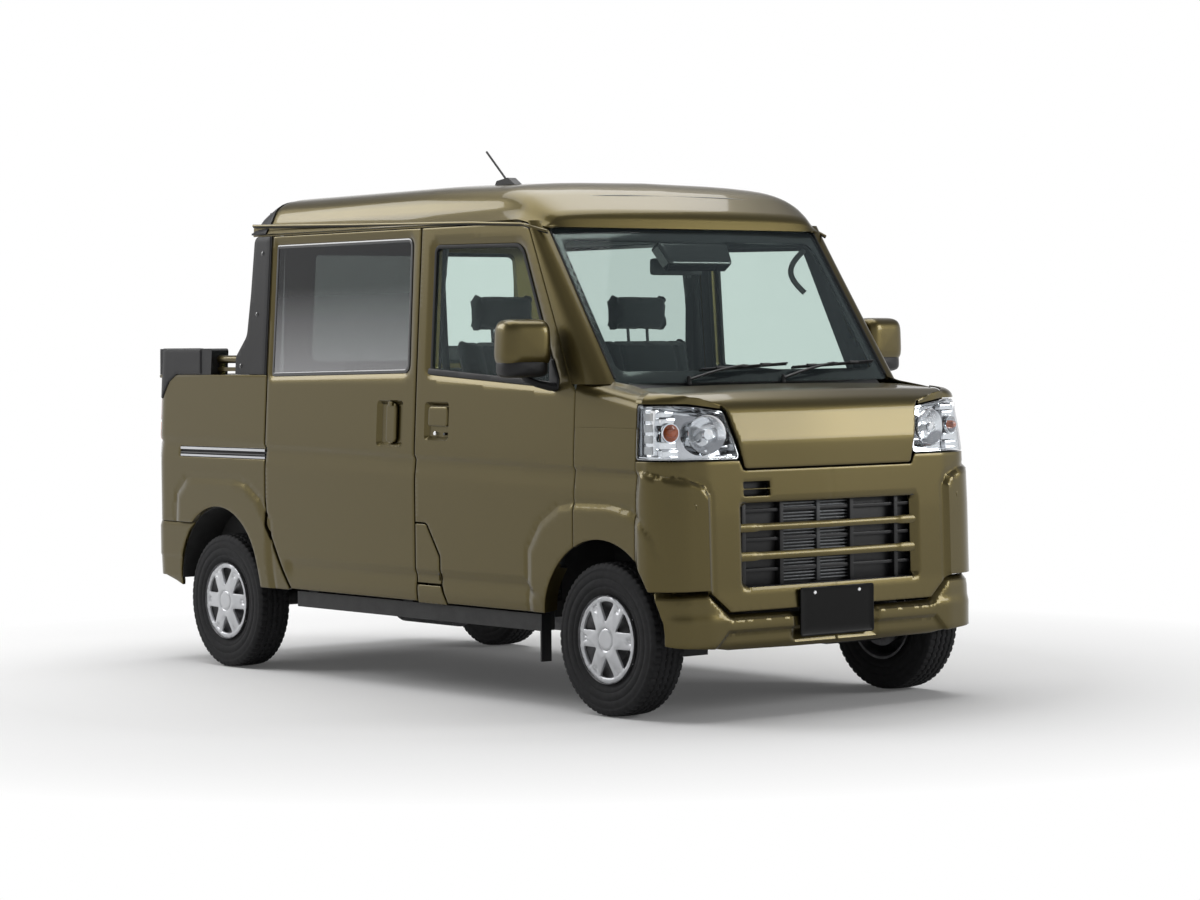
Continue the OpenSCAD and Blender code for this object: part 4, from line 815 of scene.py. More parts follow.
def build_bed():
    b = Build()
    rows = feature_rows(REAR_FLARE)[8:]
    panel(BED_SIDE, side, 34, [TRACK, LAMP_R], 18, 3.2, rows, "paint", "paint", b)
    # rolled top rim along the bed
    b.box((-1640, -(HALF_W - 14), 1166), (-833, -(HALF_W - 96), 1180), 5, "paint")
    # inner wall of the bed with pressed ribs, and the wall's lower flange
    xs = np.arange(-1626, -829, 10.0)
    zs = np.array([694, 704, 720, 760, 840, 848, 1010, 1018, 1120, 1160, 1168])
    rib = 7 * smooth_step((np.abs(((xs + 830) % 130) - 65) - 30) / 10)
    pos = np.zeros((len(zs), len(xs), 3))
    for i, z in enumerate(zs):
        pos[i, :, 0] = xs
        pos[i, :, 1] = -(642.5 + (rib if 720 < z < 1130 else 0))
        pos[i, :, 2] = z
    slab(pos, 3, "paint", b, flip=False)
    # track of the sliding door: dark channel and bright rail
    b.box((-1466, -(HALF_W - 16), 845), (-826, -(HALF_W - 11), 889), 1, "seal")
    for z0, z1, m in ((848, 856, "bright"), (861, 866, "gloss"), (876, 886, "bright")):
        b.box((-1462, -(HALF_W - 8), z0), (-829, -(HALF_W - 3), z1), 1.5, m)
    b.both().make("bed_side_skin", slot="paint", replaces=("bed_sides",))
    # rear lamps round the corner
    b = Build()
    zone = rounded([[-1714, 830, 6], [-1635.6, 830, 6], [-1635.6, 1090, 6], [-1714, 1090, 6]], 3)
    panel(zone, side, 13, grid=10, roll=3, mat="red", build=b, lift=0.5)
    for z0, z1, m in ((838, 905, "white_lens"), (912, 985, "amber"), (992, 1082, "red")):
        part = rounded([[-1708, z0, 5], [-1642, z0, 5], [-1642, z1, 5], [-1708, z1, 5]], 3)
        panel(part, side, 4, grid=9, roll=2.5, mat=m, build=b, lift=3.0)
    b.both().make("rear_lamp_lens", slot="red_lens", replaces=("rear_lamps",))


build_bed()


# ---------------------------------------------------------------- nose: plan arc
PLAN = rounded([[1486, 800], [1486, 737.5], [1655.5, 737.5, 120], [1685.5, 562.5, 260], [1699.5, 0, 2600],
                [1685.5, -562.5, 260], [1655.5, -737.5, 120], [1486, -737.5], [1486, -800]], 14)[1:-1]
_order = [p for p in PLAN if p[1] >= -0.01]
PLAN_H = np.array([(1697.4, 0.0)] + [tuple(p) for p in _order[::-1] if p[1] > 1.0])
_seg = np.linalg.norm(np.diff(PLAN_H, axis=0), axis=1)
PLAN_S = np.concatenate([[0], np.cumsum(_seg)])
S_END = PLAN_S[-1]


def s_of_y(y):
    """Length along the plan to a place across the front."""
    k = np.argmax(PLAN_H[:, 1] > 737.4)
    return float(np.sign(y) * np.interp(abs(y), PLAN_H[:k + 1, 1], PLAN_S[:k + 1]))


def s_of_x(x):
    """Length along the plan to a place on the side."""
    return float(np.interp(-x, -PLAN_H[::1, 0], PLAN_S))


def plan_point(s):
    a = np.abs(s)
    return np.interp(a, PLAN_S, PLAN_H[:, 0]), np.sign(s) * np.interp(a, PLAN_S, PLAN_H[:, 1])


NOSE_LEAN = np.array([(228, -9), (262, -2.2), (345, -2.2), (368, -9), (447, -15), (700, -22), (889, -32),
                      (960, -44), (1060, -70), (1100, -92)], float)
PAD = [(s_of_y(553), 300), (s_of_y(553), 770), (s_of_y(575), 806), (s_of_y(640), 828), (s_of_x(1560), 852),
       (S_END + 60, 868), (S_END + 60, 300)]
PAD = np.array(PAD, float)
EYE = np.array([(-425, 436), (425, 436), (425, 749), (-425, 749)], float)


def nose_out(q):
    s, z = q[:, 0], q[:, 1]
    x, y = plan_point(s)
    p = np.stack([np.abs(s), z], 1)
    out = 13 * smooth_step(signed(p, PAD) / 15) * smooth_step((S_END - np.abs(s)) / 40)
    d = signed(np.stack([x, z], 1), FRONT_FLARE)
    on_side = smooth_step((np.abs(s) - s_of_y(700)) / 60)
    out = out + (6.5 * np.clip(d / 28, 0, 1) - 3.0 * np.exp(-((d + 4) / 5.5) ** 2)) * on_side
    t = belt_line(x) - z
    out = out + np.interp(t, [-14, -1, 6, 66, 90],
                          [0, -8.5, -8.2, -1.0, 0]) * smooth_step((np.abs(s) - s_of_x(1540)) / 40)
    hole = rounded_box(np.stack([y, z], 1), -425, 425, 445, 749, 22)
    out = out - 26 * smooth_step((hole + 2) / 34) * (np.abs(s) < 520)
    rim = 4 * np.exp(-((signed(p, PAD) + 5) / 4.5) ** 2)
    out = out - rim * smooth_step((s_of_x(1500) - np.abs(s)) / 30)
    return out


def nose_point(q):
    s, z = q[:, 0], q[:, 1]
    x, y = plan_point(s)
    front = smooth_step((x - 1486) / 150)
    return np.stack([x + np.interp(z, NOSE_LEAN[:, 0], NOSE_LEAN[:, 1]) * front, y, z], 1)


def nose_fn(out_fn):
    def pos(q):
        e = 0.6
        p = nose_point(q)
        n = unit(np.cross(nose_point(q + (e, 0)) - nose_point(q - (e, 0)),
                          nose_point(q + (0, e)) - nose_point(q - (0, e))))
        k = smooth_step((np.abs(q[:, 0]) - s_of_y(690)) / 90) * inset(q[:, 1])
        return p + n * (out_fn(q) - k)[:, None]

    def fn(q):
        e = 0.5
        p = pos(q)
        return p, unit(np.cross(pos(q + (e, 0)) - pos(q - (e, 0)), pos(q + (0, e)) - pos(q - (0, e))))
    return fn


nose = nose_fn(nose_out)
S_SEAM = s_of_x(1486.4)


def arch_s(z):
    return s_of_x(ARCH_F[0] + math.sqrt(max(ARCH_F[2] ** 2 - (z - ARCH_F[1]) ** 2, 0)))


def mirror_line(pts):
    """Closes a right half outline (s >= 0) with its mirror image."""
    pts = [tuple(p) for p in pts]
    return np.array(pts + [(-s, z) for s, z in reversed(pts)], float)


def build_nose():
    half = [(s_of_y(475), 371), (s_of_y(561), 443), (s_of_y(580), 448)]
    half += [(arch_s(z), z) for z in (448, 470, 495, 520, 535)]
    half += [(S_SEAM, 549), (S_SEAM, 889), (s_of_y(416), 887), (s_of_y(398), 853)]
    outline = mirror_line(half)
    grille = rounded([[-399, 453, 16], [399, 453, 16], [399, 738, 16], [-399, 738, 16]], 6)
    vents = [rounded([[-s, z0, 5], [-t, z0, 5], [-t, z1, 5], [-s, z1, 5]], 3)
             for s, t, z0, z1 in ((s_of_y(402), s_of_y(283), 790, 813),
                                  (s_of_y(402), s_of_y(283), 764, 785))]
    rows = [resample(offset(PAD, d), 7)[:400] * (k, 1) for d in (0, 9, 17) for k in (1, -1)]
    rows += [resample(offset(ccw(EYE), d), 7) for d in (-2, 14, 24)]
    rows += [[(k * s_of_x(x), z) for x, z in FRONT_FLARE[1:4]] for k in (-1, 1)]
    b = Build()
    panel(outline, nose, 14, [grille] + vents, 15, 3.0, rows, "paint", "paint", b)
    # bars across the opening, thicker at their ends
    for z0, z1 in ((541, 569), (641, 667)):
        ys = np.linspace(-424, 424, 61)
        wide = smooth_step((np.abs(ys) - 330) / 14)
        prof = [(-30, 0), (-3, 0.06), (0, 0.3), (-1, 0.72), (-6, 1.0), (-30, 0.9)]
        rows_b = []
        for dx, t in prof:
            x = np.interp(np.abs(ys), [0, 424], [1672, 1655]) + dx + 5 * wide
            z = (z0 - 3 * wide) + (z1 - z0 + 5 * wide) * t
            rows_b.append(np.stack([x, ys, z], 1))
        pos = np.array(rows_b + rows_b[:1])
        v, f = grid_mesh(pos)
        f = [tuple(reversed(g)) for g in f] + [tuple(i * 61 for i in range(6)),
                                               tuple(i * 61 + 60 for i in reversed(range(6)))]
        b.add(v, f, "paint")
    # round cap on each corner pad
    for k in (-1, 1):
        x, y = plan_point(np.array([k * s_of_y(633)]))
        v, f = lathe([(0, 1.5), (9.5, 1.5), (10.5, 0.2), (11.5, 0.2), (12.5, 2.0), (14, 1.2), (14, -6)],
                     (float(x[0]) - 13.5, float(y[0]), 734), "x", 28)
        rot = Matrix.Rotation(math.radians(k * 20), 3, "Z")
        v = np.array([tuple(rot @ Vector(p - (float(x[0]), float(y[0]), 734)))
                      for p in v]) + (float(x[0]), float(y[0]), 734)
        b.add(v, f, "paint")
    b.make("nose_skin", slot="paint", replaces=("nose_panel",))
    # behind the opening: frame, dividers, condenser and duct
    b = Build()
    b.box((1604, -434, 447), (1622, 434, 765), 3, "black")
    for y in (-216, 115, 330, -390):
        b.box((1618, y - 9, 449), (1648, y + 9, 760), 3, "black")
    for i in range(24):
        z = 462 + i * 11.6
        b.box((1622, -208, z), (1634, 108, z + 5), 1, "condenser")
    b.box((1624, -47, 455), (1642, -30, 742), 3, "trim")
    for z in (500, 605, 705):
        b.box((1616, -420, z), (1640, 420, z + 12), 3, "black")
    for k in (-1, 1):
        b.box((1610, k * 434 - 6, 449), (1664, k * 434 + 6, 752), 3, "black")
    b.box((1610, -425, 739), (1660, 425, 752), 3, "black")
    b.box((1610, -406, 762), (1632, -279, 816), 3, "black")
    b.box((1610, -425, 441), (1660, 425, 452), 3, "black")
    b.make("grille_back", slot="black_plastic", replaces=("grille",))


build_nose()


def bumper_out(q):
    s, z = np.abs(q[:, 0]), q[:, 1]
    top = np.interp(s, [s_of_y(475), s_of_y(566)], [366, 446])
    out = np.interp(top - z, [0, 4, 24, 44], [-16, -14, 0, 2])
    low = np.array([(-400, 100), (s_of_y(555), 100), (s_of_y(555), 246), (s_of_y(493), 309), (-400, 309)],
                   float)
    out = out - 13 * smooth_step((signed(np.stack([s, z], 1), low) + 2) / 15)
    out = out - 9 * smooth_step((256 - z) / 26)
    return out - 10 * smooth_step((206 - s) / 18) * smooth_step((z - 250) / 14)


def build_bumper():
    fn = nose_fn(bumper_out)
    half = [(s_of_y(200), 232), (s_of_y(480), 236), (s_of_y(560), 248), (s_of_y(690), 258),
            (arch_s(262), 264)]
    half += [(arch_s(z), z) for z in (300, 340, 380, 420, 446)]
    half += [(s_of_y(566), 446), (s_of_y(475), 368), (s_of_y(200), 365)]
    low = [(s_of_y(200), 309), (s_of_y(493), 309), (s_of_y(555), 246)]
    rows = [[(k * s, z + d * 0.9) for s, z in low] for k in (-1, 1) for d in (-12, 0, 3)]
    lip = ((s_of_y(100), 366), (s_of_y(475), 366), (s_of_y(566), 446), (arch_s(440), 446))
    rows += [[(k * s, z - d) for s, z in lip] for k in (-1, 1) for d in (4, 24, 44)]
    for ends in ((0, s_of_y(420)), (-s_of_y(420), 0)):
        rows += [[(s, z) for s in ends] for z in (309, 300, 342, 362)]
    b = Build()
    panel(mirror_line(half), fn, 8, grid=12, roll=3, extra=rows, mat="paint", build=b)
    for y in (-330, 330):
        b.box((1558, y - 25, 318), (1672, y + 25, 348), 3, "steel")
    b.make("bumper_skin", slot="paint", replaces=("front_bumper",))


build_bumper()


# ---------------------------------------------------------------- lid, fenders, lamps
LID = rounded([[1669, 700, 0], [1669, 853, 0], [1666, 955, 130], [1634, 1084, 70], [1555, 1121, 90],
                                    [1370, 1140, 90], [1300, 1135, 0], [1000, 1130, 0]], 12)[1:-1]
LID_T = np.concatenate([[0], np.cumsum(np.linalg.norm(np.diff(LID, axis=0), axis=1))])
_front = PLAN_H[PLAN_H[:, 1] < 660]
NOSE_FIT = np.polyfit(_front[:, 1] ** 2, _front[:, 0] - 1697.4, 3)
NOSE_FIT[-1] = 0.0


def lid_point(q):
    """Front lid from y and length up the profile."""
    y, t = q[:, 0], q[:, 1]
    x, z = np.interp(t, LID_T, LID[:, 0]), np.interp(t, LID_T, LID[:, 1])
    back = np.polyval(NOSE_FIT, y * y)
    front = smooth_step((z - 1060) / 70)
    crown = -9 * (np.abs(y) / 640) ** 2.2
    return np.stack([x + back * (1 - 0.9 * front), y, z + (crown + 3) * front], 1)


lid_fn0 = numeric(lid_point)


def lid_fn(q):
    p, n = lid_fn0(q)
    return p, np.where((n[:, 2] + n[:, 0] > 0)[:, None], n, -n)


def t_of_z(z):
    return float(np.interp(z, LID[:, 1], LID_T))


def t_of_x(x):
    return float(np.interp(-x, -LID[:, 0], LID_T))


def build_lid():
    t0 = t_of_z(858)
    half = [(392, t0), (404, t_of_z(905)), (446, t_of_z(1058)), (460, t_of_z(1076)), (500, t_of_z(1086)),
            (592, t_of_x(1604)), (634, t_of_x(1575)), (646, t_of_x(1535)), (640, t_of_x(1450)),
            (616, t_of_x(1340)), (590, t_of_x(1324)), (300, t_of_x(1317))]
    out = mirror_line([(y, t) for y, t in half])
    out = rounded([[*p, 14] if i in (0, len(out) - 1) else [*p, 6] for i, p in enumerate(out)], 5)
    b = Build()
    rows = [[(y, t) for y in range(-640, 641, 20)] for t in np.arange(t0 + 8, LID_T[-1], 14.0)]
    panel(out, lid_fn, 12, grid=18, roll=4, extra=rows, mat="paint", inner_mat="under", build=b)
    # hinge eyes and their brackets at the rear edge
    for y in (-380, 380):
        for k in (-1, 1):
            b.add(*lathe([(6, -11), (6, 11), (4.1, 11), (4.1, -11)], (1324, y + k * 37, 1110), "y", 20,
                         closed=True), "paint")
            b.box((1326, y + k * 37 - 11, 1108), (1340, y + k * 37 + 11, 1126), 1, "paint")
    b.make("front_lid_skin", body="front_lid", slot="paint", replaces=("front_lid",))


build_lid()


def build_fenders():
    b = Build()
    # side sheet up to the shoulder, then the shoulder turned in to the lid
    xs = np.concatenate([np.linspace(1149.5, 1290, 12), np.linspace(1300, 1485.4, 18)])
    lip = np.interp(xs, [1149, 1200, 1300, 1350, 1450, 1486], [652, 650, 645, 627, 648, 654])
    low = np.full(len(xs), 1000.0)
    rows = []
    tz = np.interp(xs, [1149, 1200, 1280, 1350, 1450, 1486], [1186, 1170, 1158, 1146, 1129, 1122])
    for t in np.linspace(0, 1, 22):
        a = math.pi / 2 * min(max((t - 0.12) / 0.52, 0), 1)
        z_c = tz - 26
        if t < 0.12:
            z, y = low + (z_c - 44 - low) * (t / 0.12), HALF_W - inset(low + (z_c - 44 - low) * (t / 0.12))
        elif t <= 0.64:
            z_s = z_c - 44
            y0 = HALF_W - inset(z_s)
            z = z_s + 58 * math.sin(a) ** 0.92
            y = y0 - 46 * (1 - math.cos(a)) ** 1.0
        else:
            z_s = z_c - 44
            y0 = HALF_W - inset(z_s) - 46
            w = (t - 0.64) / 0.36
            z = z_s + 58 + 12 * smooth_step(w) * 1.0
            y = y0 + (lip + 4 - y0) * w
        rows.append(np.stack([xs, -y, z], 1))
    pos = np.array(rows)
    slab(pos, 5, "paint", b, flip=True)
    sheet = rounded([[1149, 583], [1149, 1004], [1485.4, 1004]] + arc(ARCH_F, 52.9, 115.8, 324, 24), 2)
    rows = feature_rows(FRONT_FLARE)
    panel(sheet, side, 14, (), 13, 2.0, rows, "paint", "under", b)
    # nose corner above the lamp, from the nose's surface up to the lid's seam
    ss = np.linspace(s_of_y(470), S_SEAM, 44)
    z_low = np.interp(ss, [s_of_y(454), s_of_y(600), S_SEAM], [1063, 1083, 1084])
    knots = [s_of_y(y) for y in (470, 500, 520, 560, 600, 640, 690)] + [S_SEAM]
    z_hi = np.interp(ss, knots, [1077, 1087, 1094, 1100, 1106, 1111, 1117, 1122])
    foot = nose_fn(lambda q: np.zeros(len(q)))(np.stack([ss, z_low], 1))[0]
    xi = np.interp(ss, knots, [1621, 1617, 1611, 1604, 1597, 1570, 1536, 1486])
    yi = np.interp(ss, knots, [470, 500, 521, 560, 598, 636, 652, 658])
    sh = []
    for a in np.linspace(0, math.pi / 2, 12):
        cx, sx = math.cos(a), math.sin(a)
        sh.append(np.stack([xi + (foot[:, 0] - xi) * cx, -(yi + (foot[:, 1] - yi) * cx),
                            z_low + (z_hi - z_low) * sx], 1))
    slab(np.array(sh), 5, "paint", b, flip=True)
    b.both().make("fender_skin", slot="paint", replaces=("front_fenders",))


build_fenders()

LAMP = [(s_of_y(411), 890), (s_of_y(454), 1056), (s_of_y(560), 1072), (s_of_y(650), 1079),
        (S_SEAM - 3, 1081), (S_SEAM - 3, 893)]


def build_lamps():
    fn = nose_fn(lambda q: np.zeros(len(q)))
    outline = rounded([[*LAMP[0], 16], [*LAMP[1], 22], [*LAMP[2], 0], [*LAMP[3], 0], [*LAMP[4], 16],
                       [*LAMP[5], 16]], 6) * (-1, 1)
    b = Build()
    panel(outline, fn, 5, grid=14, roll=4, mat="lens", build=b)
    # housing behind the lens
    h = Build()
    inward = np.array((-0.80, 0.60, 0.0))

    def deep_fn(q):
        return fn(q)[0] + inward * 62, np.tile(-inward, (len(q), 1))
    panel(offset(ccw(outline), 4), deep_fn, 8, grid=16, roll=1, mat="chrome", build=h)
    # walls joining the lens to the housing, in steps
    o = ccw(resample(outline, 8))
    po = fn(o)[0]
    for ring_in, start, stop in ((4, 5, 64), (11, 14, 30)):
        q = offset(o, ring_in)
        pi = fn(q)[0]
        rows = np.stack([po * 0.3 + pi * 0.7 + inward * start, pi + inward * start, pi + inward * stop,
                         po * 0.3 + pi * 0.7 + inward * stop], 0)
        v, f = grid_mesh(np.concatenate([rows, rows[:1]], 0), close_u=True)
        h.add(v, f, "chrome")
    # reflector bowl with facets, bulb and shade
    turn = Matrix.Rotation(-0.18, 3, "Z")

    def place(v, at):
        return np.array([tuple(turn @ Vector(p)) for p in v]) + at

    prof = [(8, -46), (30, -38), (52, -22), (70, -2), (74, 0), (76, -4), (56, -30), (30, -46), (8, -54)]
    v, f = lathe(prof, (0, 0, 0), "x", 40, closed=True)
    v[:, 2] *= 0.9
    h.add(place(v, (1622, -530, 978)), f, "chrome")
    v, f = lathe([(0, 16), (9, 14), (12, 6), (12, -40), (0, -40)], (0, 0, 0), "x", 24)
    h.add(place(v, (1610, -530, 978)), f, "white_lens")
    v, f = lathe([(0, 8), (18, 6), (22, 0), (20, -8), (0, -8)], (0, 0, 0), "x", 28)
    h.add(place(v, (1625, -530, 978)), f, "chrome")
    # stepped reflector walls and marker ledges
    for i, (z0, z1, dx) in enumerate(((900, 926, 0), (930, 956, -10), (1010, 1034, -16),
                                      (1038, 1058, -26))):
        h.box((1560 + dx, -700, z0), (1592 + dx, -632, z1), 4, "chrome")
    for i in range(5):
        h.box((1596 - i * 12, -470 - i * 2, 902 + i * 30), (1640 - i * 12, -432, 908 + i * 30), 2, "chrome")
    h.box((1510, -716, 906), (1560, -690, 1064), 5, "chrome")
    for i in range(4):
        h.box((1514, -720, 912 + i * 38), (1556, -712, 940 + i * 38), 3, "white_lens")
    v, f = lathe([(0, 26), (10, 24), (15, 14), (15, -10), (20, -14), (0, -14)], (0, 0, 0), "x", 24)
    h.add(place(v, (1585, -662, 985)), f, "amber")
    v, f = lathe([(15, 6), (30, 22), (33, 22), (33, 14), (18, -4)], (0, 0, 0), "x", 28, closed=True)
    h.add(place(v, (1570, -662, 985)), f, "chrome")
    for x in (h, b):
        x.both()
    h.make("lamp_housing", slot="lamp_lens", replaces=("headlamps",))
    b.make("lamp_lens", slot="lamp_lens")


build_lamps()


# ---------------------------------------------------------------- roof, pillars, windscreen
def gutter_z(x):
    return np.interp(x, [-964, -240, 514, 813, 924], [1771, 1751, 1733, 1719, 1688])


ROOF_HALF, ROOF_EDGE_Z = 696, 1733  # half width at the gutters, and the height of the skin there


def roof_half(x):
    return np.interp(x, [-1000, 760, 820, 870, 900, 912], [695, 695, 691, 676, 652, 630])


ROOF_LINE = rounded([[-965, 1700], [-965, 1735, 0], [-950, 1822, 50], [-842, 1887, 110], [200, 1893, 4000],
                     [715, 1880, 330], [902, 1762, 60], [914, 1706, 0], [914, 1650]], 22)[1:-1]
CROWN = np.array([(0, 1), (300, 0.968), (400, 0.945), (500, 0.905), (560, 0.865), (604, 0.80), (628, 0.72),
                  (641, 0.635), (656, 0.44), (670, 0.24), (684, 0.11), (693, 0.08), (696, 0.05),
                  (696, 0.0)], float)


def build_roof():
    line = resample(ROOF_LINE, 34, False)
    t = np.linspace(0, 1, 36)
    seg = np.concatenate([[0], np.cumsum(np.linalg.norm(np.diff(CROWN / (1, 1 / 160.0), axis=0), axis=1))])
    seg /= seg[-1]
    cy, ch = np.interp(t, seg, CROWN[:, 0]), np.interp(t, seg, CROWN[:, 1])
    ys = np.concatenate([-cy[::-1], cy[1:]])
    hs = np.concatenate([ch[::-1], ch[1:]])
    rows = []
    for x, z in line:
        base = np.interp(x, [-2000, 800, 905], [ROOF_EDGE_Z, ROOF_EDGE_Z, 1704])
        w = roof_half(x) / ROOF_HALF
        y = ys * w
        bow = np.where(x > 700, -14 * ((np.abs(ys) / ROOF_HALF) ** 2) * smooth_step((x - 700) / 200), 0)
        bow = bow + np.where(x < -860, 10 * (np.abs(ys) / ROOF_HALF) ** 4 * smooth_step((-860 - x) / 60), 0)
        rows.append(np.stack([x + bow, y, base + (max(z, base) - base) * hs], 1))
    b = Build()
    slab(np.array(rows), 6, "paint", b, flip=True)
    # gutter along the sides
    xs = np.concatenate([np.linspace(-950, 760, 60), np.linspace(775, 922, 14)])
    gy = np.interp(xs, [-1000, 750, 850, 922], [697, 697, 692, 668])
    path = np.stack([xs, -gy, gutter_z(xs) + 2], 1)
    v, f = tube(path, 4.6, sides=8, flat=1.1)
    b.add(v, f, "paint")
    v2, f2 = tube(path + (0, 2.0, -6), 3.2, sides=6)
    b.add(v2, f2, "seal")
    for v, f, m in ((v, f, "paint"), (v2, f2, "seal")):
        b.add(v * (1, -1, 1), [tuple(reversed(q)) for q in f], m)
    # band between the gutter and the door heads
    for k in (1, -1):
        xs2 = np.linspace(-958, 800, 60)
        pos = np.stack([np.stack([xs2, -k * (HALF_W - inset(np.full(60, z)) + 1.0),
                                  np.minimum(np.full(60, z), gutter_z(xs2))], 1)
                        for z in (1728, 1740, 1752, 1775)])
        slab(pos, 4, "paint", b, flip=(k > 0))
    b.make("roof_skin", slot="paint", replaces=("roof",))
    # head lining
    rows = []
    for x in np.linspace(-770, 800, 14):
        y = np.linspace(-600, 600, 17)
        rows.append(np.stack([np.full(17, x), y,
                              1868 - 62 * np.abs(y / 600) ** 5 - 44 * smooth_step((x - 560) / 260)
                              - 30 * smooth_step((-600 - x) / 170)], 1))
    b = Build()
    slab(np.array(rows), 8, "lining", b, flip=True)
    b.make("head_lining", slot="trim")
    # black closing strip round the rear edge of the roof, with its screws
    b = Build()
    rear = [p for p in line if p[0] < -856][::-1]
    rows = []
    for x, z in rear:
        rows.append(np.stack([np.full(len(ys), x) - 4 + 10 * (np.abs(ys) / ROOF_HALF) ** 4, ys * 1.004,
                              ROOF_EDGE_Z + (z + 3 - ROOF_EDGE_Z) * hs + 1.5], 1))
    slab(np.array(rows), 7, "black", b, flip=False)
    for y in (-640, -610, -420, -210, 0, 210, 420, 610, 640):
        h = float(np.interp(abs(y), CROWN[:, 0], CROWN[:, 1]))
        b.add(*lathe([(0, 5), (5, 4.5), (7.5, 2), (8, 0), (8, -3)],
                     (-900, y, ROOF_EDGE_Z + (1866 - ROOF_EDGE_Z) * h), "z", 14), "gloss")
    b.make("roof_end_strip", slot="black_plastic")


build_roof()


def build_pillars():
    b = Build()
    # front pillar: from the door's edge round to the glass
    zs = np.concatenate([np.linspace(1150, 1190, 5), np.linspace(1205, 1712, 30), [1722, 1731]])
    rows = []
    for z in zs:
        yo = HALF_W - float(inset(np.array([z]))[0])
        x0 = float(pillar_x(z)) + 4.5
        x1 = float(screen_x(z)) + 3
        yi = np.interp(z, [1150, 1700], [650, 637])
        pts = []
        for t in np.linspace(0, 1, 17):
            a = t * math.pi / 2
            # side part bends into the part beside the glass
            bx = x0 + (x1 - x0) * math.sin(a) ** 0.9
            by = yi + (yo - yi) * math.cos(a) ** 0.62
            pts.append((bx, -by, z))
        rows.append(pts)
    slab(np.array(rows), 10, "paint", b, flip=True)
    # black strip between pillar and glass
    zs2 = np.linspace(1168, 1705, 24)
    path = np.stack([screen_x(zs2) + 0.5, -np.interp(zs2, [1150, 1700], [647, 633]), zs2], 1)
    b.add(*tube(path, 5.5, sides=6), "seal")
    # inner trim of the pillar
    path = np.stack([screen_x(zs2) - 42, -np.interp(zs2, [1150, 1700], [664, 640]), zs2], 1)
    b.add(*tube(path, 21, sides=10), "trim")
    # centre pillar and roof rail, inside
    b.add(*tube([(191, -652, 402), (191, -652, 900), (191, -644, 1185), (191, -622, 1480),
                 (191, -590, 1731)], 38, sides=12, flat=0.55), "trim")
    b.add(*tube([(-790, -606, 1712), (200, -608, 1712), (780, -606, 1712), (850, -600, 1700)], 22,
                sides=10), "inner")
    # hinge post and brackets
    b.box((1085, -652, 656), (1114, -606, 1125), 3, "paint")
    b.box((1114, -645, 656), (1156, -606, 1125), 3, "paint")
    for z in (690, 850):
        b.add(*lathe([(4, 2), (4, 98), (0, 98)], (1075, -717.5, z), "z", 20), "steel")
        b.add(*lathe([(0, 0), (6.2, 0), (6.2, 48), (4, 48)], (1075, -717.5, z), "z", 24), "paint")
        b.box((1078, -722, z + 2), (1112, -645, z + 46), 2, "paint")
    # rear panel under the cover, and the corner of the cab
    rear = rounded([[-827, 1181, 0], [-821, 1731, 0], [-931, 1731, 20], [-951, 1690, 0], [-971, 1181, 0]],
                   3)
    panel(rear, plain_side(1.5), 46, grid=30, roll=4, mat="paint", build=b)
    b.both()
    for v, f in ((box_mesh((188, HALF_W - 66, 392), (342, HALF_W - 59, 632), 2)),
                 (box_mesh((190, -HALF_W + 59, 392), (342, -HALF_W + 66, 632), 2))):
        b.add(v, f, "paint")
    b.add(*lathe([(0, -30), (2, -30), (2, 30), (0, 30)], (336, -732.5, 455), "z", 16), "steel")
    b.box((333.8, -731, 446.5), (338.2, -678, 463.5), 0.8, "paint")
    b.add(*lathe([(0, 18), (30, 18), (34, 12), (34, 0), (0, 0)], (265, -690, 520), "y", 32, -1), "black")
    b.add(np.vstack(pillar_base.v), pillar_base.f, "paint")
    b.make("cab_pillars", slot="paint", replaces=("cab_frame",))


build_pillars()


def glass_point(p):
    y, z = p[:, 0], p[:, 1]
    bulge = 26 * (1 - (np.abs(y) / 640) ** 2.4)
    return np.stack([screen_x(z) + bulge, y, z], 1)


screen_fn = numeric(glass_point)


def build_screen():
    outline = rounded([[-650, 1152, 20], [650, 1152, 20], [636, 1709, 40], [-636, 1709, 40]], 8)
    b = Build()
    panel(outline, screen_fn, 5, grid=34, roll=1.5, mat="clear", build=b)
    b.make("screen_pane", slot="clear_glass", replaces=("windscreen",))
    b = Build()
    hole = rounded([[-612, 1196, 30], [612, 1196, 30], [598, 1664, 46], [-598, 1664, 46]], 8)
    panel(offset(ccw(outline), 1), screen_fn, 7.5, [hole], grid=30, roll=0.6, mat="gloss", build=b,
          lift=-5.6)
    # camera box behind the top of the glass
    box = rounded([[-150, 1585, 20], [150, 1585, 20], [170, 1668, 10], [-170, 1668, 10]], 6)
    panel(box, screen_fn, 46, grid=20, roll=12, mat="gloss", build=b, lift=-10)
    b.box((848, -60, 1592), (905, 60, 1640), 10, "trim")
    b.make("screen_border", slot="black_plastic")
    # inner mirror
    v, f = box_mesh((820, -118, 1540), (848, 118, 1602), 12)
    b = Build().add(v, f, "trim")
    b.add(*tube([(836, 0, 1598), (866, 0, 1650)], 7), "trim")
    b.make("inner_mirror", slot="trim")


build_screen()


# ---------------------------------------------------------------- wheels
def disc_fn(cx, cy, height, side_sign=-1):
    """Flat wheel cover facing outwards: points (x, z) about the wheel's centre."""
    def pos(p):
        return np.stack([cx + p[:, 0], side_sign * (cy + height(p)), AXLE_Z + p[:, 1]], 1)

    def fn(p):
        e = 0.4
        q = pos(p)
        n = unit(np.cross(pos(p + (e, 0)) - pos(p - (e, 0)), pos(p + (0, e)) - pos(p - (0, e))))
        return q, n * np.sign(n[:, 1:2]) * side_sign
    return fn


